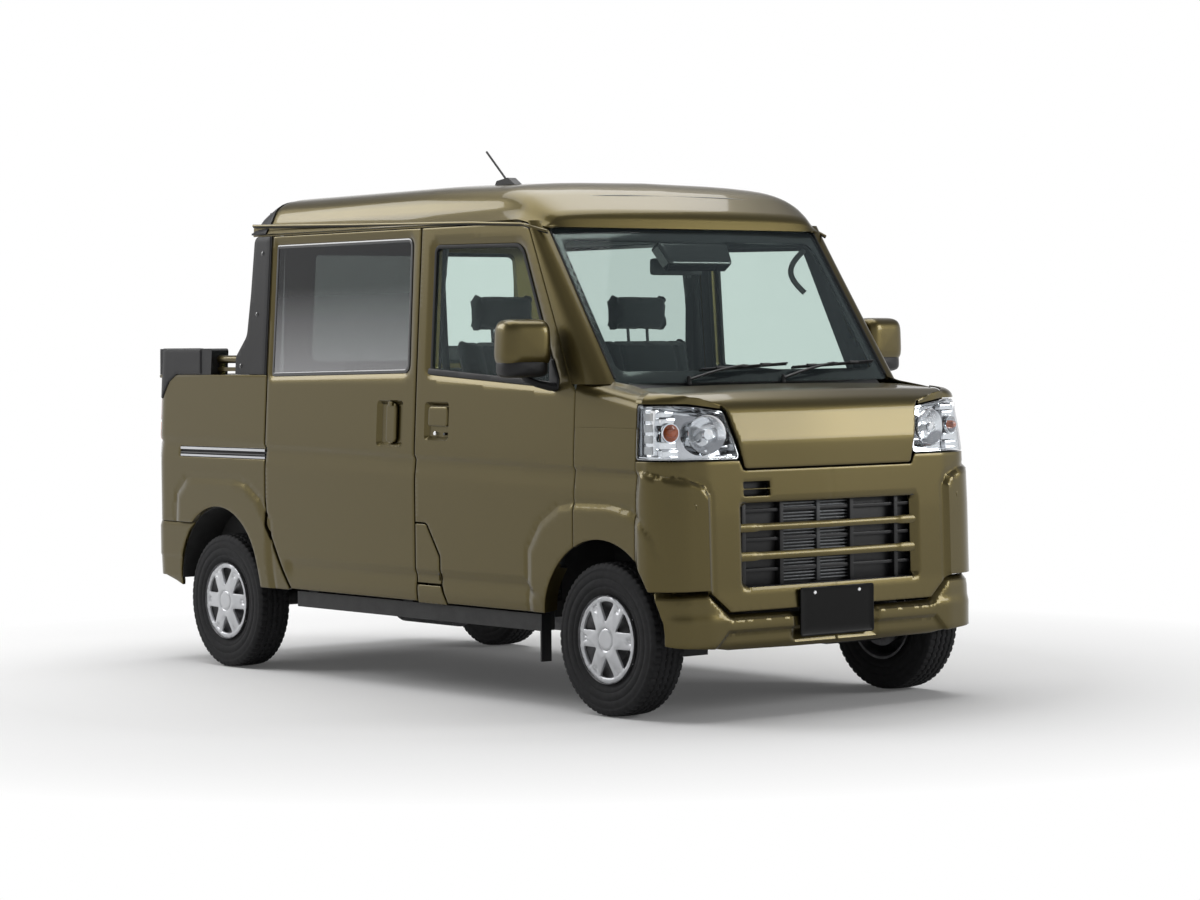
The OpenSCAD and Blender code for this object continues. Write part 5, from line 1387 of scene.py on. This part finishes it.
def cover_height(p):
    r = np.linalg.norm(p, axis=1)
    h = np.interp(r, [0, 30, 36, 39, 44, 60, 120, 134, 140, 149, 153],
                  [-1, -1, -2.5, -5, -1.5, 0, -4.5, -5.5, -3.5, -5, -12])
    for k in range(6):
        a = math.radians(60 * k)
        u = p @ np.array((math.cos(a), math.sin(a)))
        v = np.abs(p @ np.array((-math.sin(a), math.cos(a))))
        pocket = smooth_step((11 - v) / 3) * smooth_step((u - 108) / 3) * smooth_step((134 - u) / 3)
        tab = smooth_step((6 - v) / 2) * smooth_step((u - 112) / 2) * smooth_step((128 - u) / 2)
        h = h - 4.0 * pocket + 2.6 * tab
        h = h - 1.6 * smooth_step((v - 21) / 7) * (u > 50) * (u < 132)
    return h


def build_wheel(name, cx, sign):
    outer = np.array(arc((0, 0, 152.5), 0, 356, None, 90))
    holes = []
    for k in range(6):
        c = math.radians(60 * k + 30)
        pts = [(60 * math.cos(c), 60 * math.sin(c), 5)]
        r = 133.0
        off = math.asin(29 / r)
        a0, a1 = c - math.radians(30) + off, c + math.radians(30) - off
        pts.append((r * math.cos(a0), r * math.sin(a0), 6))
        pts += [(r * math.cos(a0 + (a1 - a0) * t), r * math.sin(a0 + (a1 - a0) * t), 0)
                for t in (0.3, 0.5, 0.7)]
        pts.append((r * math.cos(a1), r * math.sin(a1), 6))
        holes.append(rounded(pts, 5))
    b = Build()
    fn = disc_fn(cx, 727.5, cover_height, sign)
    panel(outer, fn, 9, holes, 6.5, 2.4,
          [arc((0, 0, r), 0, 358, None, 80) for r in (30, 36, 39, 44, 134, 140)], "silver", build=b, step=7)
    # steel disc and barrel behind the cover
    prof = [(0, 708), (40, 708), (52, 700), (78, 676), (112, 690), (132, 700), (146, 712), (153, 721),
            (154, 724), (154, 716), (148, 700), (146, 660), (140, 600), (150, 584), (154.3, 582),
            (154.3, 579), (146, 580), (134, 598), (138, 660), (128, 690), (108, 682), (78, 668), (40, 690),
            (0, 690)]
    b.add(*lathe(prof, (cx, 0, AXLE_Z), "y", 56, sign), "steel")
    b.add(*lathe([(0, 590), (60, 590), (88, 600), (92, 640), (60, 664), (0, 668)], (cx, 0, AXLE_Z), "y",
                 40, sign), "under")
    b.make(name + "_cover", body=name, slot="wheel_silver", replaces=(name,))


def tri(t):
    return 2 * np.abs((t % 1) - 0.5) * 2 - 1


def build_tyre(name, body, cx, sign):
    n = 240
    wide = np.linspace(-62, 62, 37)
    side_pts = [(258.5, 66), (250, 69.5), (243, 71.2), (241.5, 70.2), (236, 71.8), (226, 72.4),
                (215, 72.3), (213.5, 71.2), (211.5, 71.2), (210, 72.2), (196, 71.4), (186, 69.4),
                (184.5, 68.2), (182.5, 68.2), (181, 68.8), (172, 66.4), (164, 62.5), (160, 60.5),
                (157, 60.5), (154.8, 58)]
    prof = [(r, -w) for r, w in side_pts[::-1]] + [(0, w) for w in wide] + side_pts
    ang = np.arange(n) * 2 * math.pi / n
    turns = np.arange(n) / n
    pos = np.zeros((len(prof), n, 3))
    for i, (r, w) in enumerate(prof):
        wv = np.full(n, float(w))
        if r == 0:
            crown = 268.3 - 3.2 * (abs(w) / 62) ** 2.4
            rr = np.full(n, crown)
            for g, amp, width in ((-38, 2.6, 3.4), (-13, 3.2, 3.6), (13, 3.2, 3.6), (38, 2.6, 3.4)):
                c = g + amp * tri(turns * 60)
                rr = rr - 6.5 * smooth_step((width - np.abs(w - c)) / 1.3)
            lug = (turns * 60 + (0.25 if w > 0 else 0.0)) % 1
            rr = rr - 4.6 * (abs(w) > 43) * smooth_step((0.2 - np.abs(lug - 0.5)) / 0.08)
            rr = rr - 2.5 * (abs(w) < 34) * smooth_step((0.09 - np.abs(((turns * 120) % 1) - 0.5)) / 0.05)
        else:
            rr = np.full(n, float(r))
            if 243 < r < 262:
                lug = (turns * 60 + (0.25 if w > 0 else 0.0)) % 1
                rr = rr - 3.0 * smooth_step((0.2 - np.abs(lug - 0.5)) / 0.08) * smooth_step((r - 243) / 12)
        pos[i, :, 0] = cx + rr * np.cos(ang)
        pos[i, :, 1] = sign * WHEEL_Y + wv
        pos[i, :, 2] = AXLE_Z + rr * np.sin(ang)
    inner = [(150, 57), (150, -57)]
    rows = [pos[i] for i in range(len(prof))]
    for r, w in inner:
        rows.append(np.stack([cx + r * np.cos(ang), np.full(n, sign * WHEEL_Y + w),
                              AXLE_Z + r * np.sin(ang)], 1))
    rows.append(rows[0])
    v, f = grid_mesh(np.array(rows), close_u=True)
    Build().add(v, f, "rubber").make(name + "_skin", body=body, slot="tyre_rubber", replaces=(name,),
                                     sharp=50)


for end, cx in (("front", FRONT_AXLE), ("rear", REAR_AXLE)):
    for hand, sign in (("right", -1), ("left", 1)):
        build_wheel(f"wheel_{end}_{hand}", cx, sign)
        build_tyre(f"tyre_{end}_{hand}", f"wheel_{end}_{hand}", cx, sign)


# ---------------------------------------------------------------- mirrors
def superform(n_u, n_v, fn):
    u = np.linspace(-math.pi / 2, math.pi / 2, n_u)
    v = np.arange(n_v) * 2 * math.pi / n_v
    rows = np.array([[fn(a, c) for c in v] for a in u])
    verts, faces = grid_mesh(rows, close_u=True)
    return verts, faces


def power(t, e):
    return math.copysign(abs(t) ** e, t)


def build_mirrors():
    b = Build()
    turn = Matrix.Rotation(math.radians(-6), 3, "Z")

    def place(v):
        return np.array([tuple(turn @ Vector(p)) for p in v]) + (1012, -849.5, 1272)

    def shell(a, c):
        k = abs(math.cos(a)) ** (0.24 if a < 0 else 0.36)
        x = 60 * power(math.sin(a), 0.85) if a > 0 else 54 * power(math.sin(a), 0.6)
        y = 98 * k * power(math.cos(c), 0.34)
        z = 84 * k * power(math.sin(c), 0.42) + 23
        y = y * (1 - 0.05 * (z / 100))
        return (x, y, z)

    v, f = superform(26, 64, shell)
    b.add(place(v), f, "paint")

    def skirt(a, c):
        k = abs(math.cos(a)) ** (0.30 if a < 0 else 0.5)
        x = 55 * power(math.sin(a), 0.9) if a > 0 else 51 * power(math.sin(a), 0.6)
        return (x, 92 * k * power(math.cos(c), 0.42) - 2, 36 * k * power(math.sin(c), 0.5) - 62)

    v, f = superform(18, 48, skirt)
    b.add(place(v), f, "black")
    face = rounded([[-80, -46, 26], [80, -46, 26], [76, 92, 34], [-76, 92, 34]], 8)

    def fn(p):
        pos = np.stack([np.full(len(p), -55.0), p[:, 0], p[:, 1]], 1)
        return place(pos), np.tile((-1.0, 0, 0), (len(p), 1))
    panel(face, fn, 4, grid=30, roll=2, mat="bright", build=b)
    ring_prism(offset(ccw(face), -6), fn, 7, 2.5, 3, "black", b)
    # arm and the cover at the corner of the window
    path = [(1030, -716, 1140), (1024, -745, 1142), (1016, -790, 1152), (1012, -835, 1168),
            (1010, -850, 1192)]
    b.add(*tube(path, np.array((22, 20, 17, 17, 22.0)), sides=14, flat=0.75), "black")
    corner = rounded([[1052, 1128, 14], [1052, 1168, 8], [1006, 1250, 16], [994, 1238, 10],
                      [1000, 1128, 14]], 5)
    panel(corner, plain_side(1), 14, grid=20, roll=5, mat="black", build=b, lift=4)
    side_pair("mirror_shell", b, ("front_door_right", "front_door_left"), slot="black_plastic",
              replaces=(("mirror_right",), ("mirror_left",)))


build_mirrors()


# ---------------------------------------------------------------- rear of the body
def build_rear():
    b = Build()
    cover = rounded([[-834, 1181, 0], [-828, 1728, 0], [-944, 1728, 30], [-958, 1500, 90],
                     [-976, 1335, 60], [-1052, 1252, 40], [-1052, 1181, 8]], 8)
    panel(cover, plain_side(0), 5, grid=30, roll=4, mat="black", build=b, lift=5)
    for x, z in ((-880, 1660), (-905, 1420), (-1010, 1215)):
        y = HALF_W - float(inset(np.array([z]))[0]) + 5
        b.add(*lathe([(0, 4), (6, 3.6), (9, 1.5), (9.5, -1)], (x, -y, z), "y", 16, -1), "gloss")
    strip = np.array([(-838, 1181), (-832, 1728), (-822, 1728), (-828, 1181)], float)
    panel(ccw(strip), plain_side(0), 12, grid=30, roll=2, mat="seal", build=b, lift=2.5)
    b.both().make("pillar_cover_skin", slot="trim", replaces=("pillar_covers",))
    b = Build()
    cap = rounded([[-1312, 1182, 4], [-1321, 1288, 16], [-1727, 1288, 10], [-1727, 1086, 10],
                   [-1612, 1080, 14], [-1560, 1150, 30], [-1500, 1182, 20]], 6)
    bare = numeric(lambda p: np.stack([side_point(p)[:, 0], side_point(p)[:, 1], p[:, 1]], 1))
    panel(cap, bare, 24, grid=14, roll=6, mat="black", build=b, lift=5)
    b.both().make("corner_cap_skin", slot="trim")
    # rear bumper on its own plan
    plan = rounded([[-1300, 737.5], [-1697.5, 737.5, 95], [-1697.5, -737.5, 95], [-1300, -737.5]], 14)
    plan = resample(plan[::-1], 12, False)
    run = np.concatenate([[0], np.cumsum(np.linalg.norm(np.diff(plan, axis=0), axis=1))])
    run -= run[-1] / 2

    def pos(q):
        z = q[:, 1]
        x, y = np.interp(q[:, 0], run, plan[:, 0]), np.interp(q[:, 0], run, plan[:, 1])
        out = np.interp(z, [330, 352, 430, 440, 555, 577], [-16, -6, -3, 0, 0, -6]) - 3
        cx = np.where(x < -1602.5, -1602.5, x)
        cy = np.clip(y, -642.5, 642.5)
        d = unit(np.stack([x - cx, y - cy], 1) + 1e-9)
        return np.stack([x + d[:, 0] * out, y + d[:, 1] * out, z], 1)
    fn0 = numeric(pos)

    def fn(q):
        p, n = fn0(q)
        s = np.sign((n[:, 0] * (p[:, 0] + 1400) + n[:, 1] * p[:, 1]))
        return p, n * s[:, None]

    tail = float(run[-1])
    edge = []
    for z in (577, 540, 500, 460, 420, 380, 345):
        ax = ARCH_R[0] - math.sqrt(ARCH_R[2] ** 2 - (z - ARCH_R[1]) ** 2)
        edge.append((tail - (-1300 - ax) - 1, z))
    half = [(0, 577)] + [(e[0], e[1]) for e in edge]
    half += [(tail - 190, 316), (tail - 300, 352), (tail - 420, 352), (0, 352)]
    half = [(s, z) for s, z in half if s >= 0]
    outline = np.array(half[1:-1] + [(-s, z) for s, z in reversed(half[1:-1])], float)
    b = Build()
    rows = [[(s, z) for s in np.arange(-tail + 100, tail - 100, 12)] for z in (352, 430, 440, 555)]
    plate = rounded([[-180, 381, 6], [180, 381, 6], [180, 559, 6], [-180, 559, 6]], 4)
    panel(outline, fn, 14, [plate], 14, 3, rows, "paint", build=b)
    b.box((-1690, -186, 378), (-1682, 186, 562), 2, "black")
    b.box((-1676, -620, 560), (-1560, 620, 576), 4, "black")
    b.make("rear_bumper_skin", slot="paint", replaces=("rear_bumper",))
    # tailgate: pressed outer sheet and its handle
    b = Build()
    gate = rounded([[-632, 700, 8], [632, 700, 8], [632, 1177, 8], [-632, 1177, 8]], 5)

    def gpos(p):
        d = rounded_box(p, -560, 560, 770, 1090, 26)
        crease = 3.0 * smooth_step((p[:, 1] - 1120) / 10) * smooth_step((1160 - p[:, 1]) / 10)
        x = -1664.5 + 7 * smooth_step(d / 14) - crease
        x = x + 9 * smooth_step(rounded_box(p, -95, 95, 1000, 1070, 12) / 9)
        return np.stack([x, p[:, 0], p[:, 1]], 1)
    g0 = numeric(gpos)

    def gfn(p):
        q, n = g0(p)
        return q, n * np.sign(-n[:, 0:1])
    field = ccw(rounded([[-560, 770, 26], [560, 770, 26], [560, 1090, 26], [-560, 1090, 26]], 6))
    rows = [offset(field, d) for d in (0, 14)]
    rows += [[(y, z) for y in range(-620, 621, 14)] for z in (1120, 1130, 1150, 1160)]
    panel(gate, gfn, 3, grid=16, roll=2.5, extra=rows, mat="paint", build=b)
    b.box((-1672, -76, 1018), (-1660, 76, 1048), 4, "black")
    b.make("tailgate_skin", body="tailgate", slot="paint")
    # rear window seal
    b = Build()
    lo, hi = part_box("rear_window")
    y1, z0, z1 = hi.y * 1000, lo.z * 1000, hi.z * 1000
    frame_line = rounded([[-y1, z0, 50], [y1, z0, 50], [y1, z1, 50], [-y1, z1, 50]], 8)

    def wfn(p):
        return np.stack([np.full(len(p), -825.5), p[:, 0], p[:, 1]], 1), np.tile((-1.0, 0, 0), (len(p), 1))
    ring_prism(offset(ccw(frame_line), -9), wfn, 24, 5, 1, "seal", b)
    b.make("rear_window_seal", slot="black_plastic")


build_rear()


def build_rear_housing():
    """Liner of a rear wheel housing, between the bed side and the chassis."""
    centre_x, centre_z, radius = -1176.0, 346.5, 297.0
    outer_y, inner_y = -722.0, -572.0
    turns = np.linspace(0, math.pi, 48)
    rows = [np.stack([centre_x + radius * np.cos(turns), np.full(48, y),
                      centre_z + radius * np.sin(turns)], 1)
            for y in np.linspace(outer_y, inner_y, 8)]
    b = Build()
    slab(np.array(rows), 4, "under", b, flip=True)

    def wall(p):
        return np.stack([p[:, 0], np.full(len(p), inner_y), p[:, 1]], 1), np.tile((0.0, -1.0, 0.0),
                                                                                  (len(p), 1))
    edge = np.stack([centre_x + radius * np.cos(turns), centre_z + radius * np.sin(turns)], 1)
    panel(edge, wall, 4, grid=40, roll=1, mat="under", build=b)
    b.both().make("rear_wheel_housing", slot="underbody")


build_rear_housing()


# ---------------------------------------------------------------- cabin
def prism(profile, y0, y1, steps=6):
    """Closed prism from an (x, z) outline, with its ends rounded in."""
    o = ccw(resample(np.asarray(profile, float), 14))
    ys, ins = [], []
    r = min(34.0, (y1 - y0) * 0.2)
    for t in np.linspace(0, 1, steps):
        a = t * math.pi / 2
        ys.append(y0 + r * (1 - math.sin(a)))
        ins.append(r * (1 - math.cos(a)) * 0.55)
    ys, ins = ys[::-1], ins[::-1]
    middle = [y0 + r + (y1 - y0 - 2 * r) * t for t in (0.25, 0.5, 0.75)]
    ys = ys + middle + [y1 - (y - y0) for y in ys[::-1]]
    ins = ins + [0, 0, 0] + ins[::-1]
    rows = []
    for y, d in zip(ys, ins):
        q = offset(o, d) if d > 0 else o
        rows.append(np.stack([q[:, 0], np.full(len(q), y), q[:, 1]], 1))
    v, f = grid_mesh(np.array(rows), close_u=True)
    n = len(o)
    f = f + [tuple(range(n))[::-1], tuple((len(rows) - 1) * n + i for i in range(n))]
    return v, f


def cushion(name, v, f, cap=24.0, voxel=0.008, grooves=()):
    """Foam block inflated by cloth pressure, capped, then creased along its seams."""
    ob = make(name, v, f, "cloth", slot="seat_cloth")
    me = ob.data
    bm = bmesh.new()
    bm.from_mesh(me)
    bmesh.ops.recalc_face_normals(bm, faces=bm.faces)
    bm.to_mesh(me)
    bm.free()
    bpy.context.view_layer.objects.active = ob
    for o in bpy.context.selected_objects:
        o.select_set(False)
    ob.select_set(True)
    rem = ob.modifiers.new("remesh", "REMESH")
    rem.mode, rem.voxel_size = "VOXEL", voxel
    bpy.ops.object.modifier_apply(modifier="remesh")
    n = len(ob.data.vertices)
    start = np.zeros(n * 3)
    ob.data.vertices.foreach_get("co", start)
    start = start.reshape(-1, 3)
    c = ob.modifiers.new("cloth", "CLOTH")
    c.settings.use_pressure = True
    c.settings.uniform_pressure_force = 4.0
    c.settings.effector_weights.gravity = 0
    c.settings.quality = 4
    c.settings.mass = 0.3
    c.settings.tension_stiffness = 12
    c.settings.compression_stiffness = 12
    c.collision_settings.use_collision = False
    scene = bpy.context.scene
    for k in range(1, 15):
        scene.frame_set(k)
    dg = bpy.context.evaluated_depsgraph_get()
    ev = ob.evaluated_get(dg)
    out = np.zeros(n * 3)
    ev.data.vertices.foreach_get("co", out)
    out = out.reshape(-1, 3)
    ob.modifiers.remove(c)
    scene.frame_set(1)
    move = out - start
    d = np.linalg.norm(move, axis=1, keepdims=True)
    end = start + move * np.minimum(1, cap * MM / np.maximum(d, 1e-9))
    for test, depth, width in grooves:
        t = test(end / MM)
        nn = np.zeros(n * 3)
        ob.data.vertices.foreach_get("normal", nn)
        end = end - nn.reshape(-1, 3) * (depth * MM * np.exp(-(t / width) ** 2))[:, None]
    ob.data.vertices.foreach_set("co", end.reshape(-1))
    ob.data.shade_smooth()
    return ob


def copy_to(ob, name, dy):
    me = ob.data.copy()
    me.transform(Matrix.Translation((0, dy * MM, 0)))
    new = bpy.data.objects.new(name, me)
    bpy.context.scene.collection.objects.link(new)
    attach(new, "body")
    return new


def build_seats():
    x, z = 315.0, 745.0
    seam = [(lambda p: np.minimum(np.abs(np.abs(p[:, 1] + 330) - 140), 60), 7, 6),
            (lambda p: np.minimum(np.abs(p[:, 0] - (x + 230)), 60), 6, 6)]
    base = rounded([[x + 15, z - 136, 30], [x + 490, z - 136, 40], [x + 492, z - 14, 50],
                    [x + 130, z - 30, 20], [x + 15, z - 40, 30]], 5)
    v, f = prism(base, SEAT_Y - 222, SEAT_Y + 222)
    a = cushion("front_cushion_right", v, f, 18, 0.009, grooves=seam)
    back = rounded([[x + 40, z - 30, 30], [x + 112, z - 30, 30], [x - 74, z + 574, 36],
                    [x - 138, z + 566, 36], [x - 20, z + 60, 80]], 6)
    v, f = prism(back, SEAT_Y - 218, SEAT_Y + 218)
    seam_b = [(lambda p: np.minimum(np.abs(np.abs(p[:, 1] + 330) - 135), 60), 7, 6),
              (lambda p: np.minimum(np.abs(p[:, 2] - (z + 330)), 60), 5, 6)]
    c = cushion("front_back_right", v, f, 16, 0.009, grooves=seam_b)
    head = rounded([[x - 142, z + 596, 30], [x - 84, z + 596, 30], [x - 78, z + 728, 34],
                    [x - 140, z + 738, 34]], 6)
    v, f = prism(head, SEAT_Y - 128, SEAT_Y + 128)
    h = cushion("head_rest_right", v, f, 10, 0.008)
    for ob, name in ((a, "front_cushion_left"), (c, "front_back_left"), (h, "head_rest_left")):
        copy_to(ob, name, 660)
    bench = rounded([[-764, z - 138, 20], [-350, z - 138, 40], [-346, z - 22, 40], [-690, z - 34, 20],
                     [-760, z - 40, 20]], 5)
    v, f = prism(bench, -590, 590)
    cushion("bench_cushion", v, f, 14, 0.011,
            grooves=[(lambda p: np.minimum(np.abs(np.abs(p[:, 1]) - 190), 60), 6, 7)])
    rest = rounded([[-762, z - 24, 20], [-680, z - 24, 20], [-732, z + 462, 26], [-764, z + 466, 14]], 5)
    v, f = prism(rest, -590, 590)
    cushion("bench_back", v, f, 10, 0.011,
            grooves=[(lambda p: np.minimum(np.abs(np.abs(p[:, 1]) - 190), 60), 6, 7)])
    b = Build()
    for y in (-330, 330):
        for k in (-48, 48):
            b.add(*tube([(x - 106, y + k, z + 540), (x - 112, y + k, z + 612)], 6), "steel")
        for k in (-200, 200):
            b.box((x + 20, y + k - 18, z - 149), (x + 470, y + k + 18, z - 137), 3, "steel")
    b.make("seat_frames", slot="steel", replaces=("seats",))


build_seats()


def build_dash():
    ys = np.concatenate([np.linspace(-634, 634, 61)])
    base = rounded([[1268, 1122, 10], [1050, 1112, 60], [1000, 1104, 24], [976, 1066, 20], [980, 1020, 30],
                    [964, 900, 40], [1010, 790, 40], [1060, 762, 20], [1268, 762, 10]], 5)
    rows = []
    for y in ys:
        hump = 40 * math.exp(-((y - SEAT_Y) / 150) ** 4) * smooth_step((base[:, 1] - 1010) / 60)
        hump = hump * smooth_step((1230 - base[:, 0]) / 160)
        mid = 12 * math.exp(-(y / 140) ** 4) * smooth_step((1100 - base[:, 1]) / 60)
        rows.append(np.stack([base[:, 0] - mid, np.full(len(base), y), base[:, 1] + hump], 1))
    v, f = grid_mesh(np.array(rows), close_u=True)
    n = rows[0].shape[0]
    f = f + [tuple(reversed(range(n))), tuple((len(rows) - 1) * n + i for i in range(n))]
    b = Build().add(v, [tuple(reversed(q)) for q in f], "trim")
    for y in (-540, -170, 170, 540):
        b.box((964, y - 52, 1010), (980, y + 52, 1060), 8, "gloss")
        for i in range(4):
            b.box((960, y - 46, 1016 + i * 11), (968, y + 46, 1020 + i * 11), 1, "trim")
    b.box((952, -118, 870), (968, 118, 1000), 8, "gloss")
    b.add(*tube([(1040, -330, 1000), (930, -330, 1012), (868, -330, 1010)], np.array((40, 36, 26.0)),
                sides=16), "trim")
    b.make("dash_skin", slot="trim", replaces=("dashboard",))
    # grab handles beside the screen, and the front belts on the centre pillars
    b = Build()
    for k in (-1, 1):
        path = [(842 - 40 * math.sin(t), k * (632 - 34 * math.sin(t)), 1640 - 52 * t)
                for t in np.linspace(0, math.pi, 14)]
        b.add(*tube(path, 11, sides=10), "inner")
        path = [(196, k * 606, 1560), (200, k * 598, 1300), (215, k * 585, 1000), (230, k * 575, 700)]
        b.add(*tube(path, 24, sides=8, flat=0.08), "cloth")
        b.box((176, k * 604 - 12, 1545), (216, k * 604 + 12, 1590), 6, "inner")
    b.make("cabin_fittings", slot="trim")


build_dash()


def build_wipers():
    b = Build()
    for y0, y1, zb in ((-330, 150, 1186), (110, 600, 1190)):
        # blade along the glass
        ys = np.linspace(y0 + 60, y1, 24)
        zs = zb + 20 * ((ys - y0) / (y1 - y0))
        g = glass_point(np.stack([ys, zs], 1))
        n = np.array((0.816, 0, 0.577))
        b.add(*tube(g + n * 7, 4.5, sides=6), "seal")
        b.add(*tube(g + n * 15, 5.5, sides=8, flat=0.6), "black")
        for y in (0.25, 0.5, 0.75):
            p = g[int(y * 23)] + n * 17
            b.box(p - (6, 22, 5), p + (6, 22, 5), 3, "black")
        foot = glass_point(np.array([[y0, 1158.0]]))[0] + n * 5
        grip = g[11] + n * 22
        mid = foot * 0.45 + grip * 0.55 + n * 12
        b.add(*tube([foot, foot * 0.7 + grip * 0.3 + n * 10, mid, grip], np.array((8, 8, 7, 6.0)),
                    sides=10, flat=0.7), "black")
        b.add(*lathe([(0, 16), (6, 15), (8.5, 8), (8.5, -14)], tuple(foot - n * 4), "z", 20), "black")
    b.make("wiper_arms", slot="black_plastic", replaces=("wipers",))


build_wipers()


def build_plates():
    b = Build()
    for x, z, d in ((1697.0, 354, 1), (-1697.2, 470, -1)):
        outline = rounded([[-174, z - 85, 10], [174, z - 85, 10], [174, z + 85, 10], [-174, z + 85, 10]], 6)

        def fn(p):
            rim = rounded_box(p, -174, 174, z - 85, z + 85, 10)
            dx = -1.6 * smooth_step((rim - 5) / 3)
            return np.stack([x + d * dx, p[:, 0], p[:, 1]], 1), np.tile((float(d), 0, 0), (len(p), 1))
        rows = [offset(ccw(outline), k) for k in (4, 6, 9)]
        panel(outline, fn, 4, grid=24, roll=1.2, extra=rows, mat="plate", build=b)
        for y in (-105, 105):
            b.add(*lathe([(0, 2.4), (5, 2.2), (7, 0.4), (7, -3), (3.4, -3), (3.4, -14)],
                         (x - 1.6 * d, y, z + 66), "x", 18, d), "chrome")
    b.make("plate_blanks", slot="plate", replaces=("number_plates",))


build_plates()


def finish_cad():
    """Procedural finishes for the CAD nodes that stay."""
    finish = {"floor_pan": "under", "back_wall": "paint", "rear_window": "clear", "bed_floor": "paint",
              "tailgate": "paint",
              "bed_rails": "paint", "gate_caps": "black", "cowl": "black", "steering_wheel": "trim",
              "chassis_frame": "under",
              "engine": "steel", "exhaust": "steel", "front_suspension": "under", "knuckle_right": "steel",
              "knuckle_left": "steel",
              "rear_axle": "under", "mud_flaps": "black", "antenna": "black"}
    for name, mat in finish.items():
        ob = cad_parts[name]
        for s in ob.material_slots:
            s.material = M[mat]


finish_cad()


# ---------------------------------------------------------------- stage
def build_stage():
    floor = bpy.data.meshes.new("floor")
    r = 60.0
    floor.from_pydata([(-r, -r, 0), (r, -r, 0), (r, r, 0), (-r, r, 0)], [], [(0, 1, 2, 3)])
    ob = bpy.data.objects.new("floor", floor)
    bpy.context.scene.collection.objects.link(ob)
    m, nt, p, out = new_material("floor_white")
    fill(nt, p, {"Base Color": (0.78, 0.78, 0.78, 1), "Roughness": 0.95, "Specular IOR Level": 0.05})
    # seen directly or in a reflection, the floor gets lighter and ends in plain white far out
    far = add_node(nt, "VectorMath", {0: spot(nt)}, operation="LENGTH").outputs["Value"]
    grade = spread(nt, spread(nt, far, 0.0, 1.0, FLOOR_FADE), 0.06, 1.0)
    glow = add_node(nt, "Emission", {"Strength": 1.0}).outputs[0]
    amount = combine(nt, "MULTIPLY", shown(nt), grade)
    fill(nt, out, {"Surface": mix(nt, amount, p.outputs["BSDF"], glow)})
    floor.materials.append(m)
    world = bpy.data.worlds.new("world")
    bpy.context.scene.world = world
    world.use_nodes = True
    nt = world.node_tree
    dim = nt.nodes["Background"]
    fill(nt, dim, {"Color": (1, 1, 1, 1), "Strength": 0.18})
    # white round the horizon, dimmer overhead
    tone = ramp(nt, spot_z(nt, "Generated"), (1, 1, 1), (0.32, 0.32, 0.33), 0.12, 0.40)
    white = add_node(nt, "Background", {"Color": tone, "Strength": 1.0})
    fill(nt, nt.nodes["World Output"], {"Surface": mix(nt, shown(nt), dim.outputs[0], white.outputs[0])})

    def area_light(name, at, aim, size, power):
        d = bpy.data.lights.new(name, "AREA")
        d.shape = "RECTANGLE"
        d.size, d.size_y = size
        d.energy = power
        o = bpy.data.objects.new(name, d)
        o.location = at
        o.rotation_euler = (Vector(aim) - Vector(at)).to_track_quat("-Z", "Y").to_euler()
        bpy.context.scene.collection.objects.link(o)

    area_light("top", (-0.6, 0.2, 5.8), (0.0, 0, 0), (7.0, 5.5), 380)
    area_light("side", (-5.4, -4.3, 4.5), (0, -0.6, 1.2), (4.2, 3.0), 230)
    area_light("front", (6.2, 5.0, 3.0), (1.2, 0, 1.0), (2.6, 2.0), 160)


build_stage()
bpy.context.scene.view_settings.view_transform = "Standard"
bpy.context.view_layer.update()
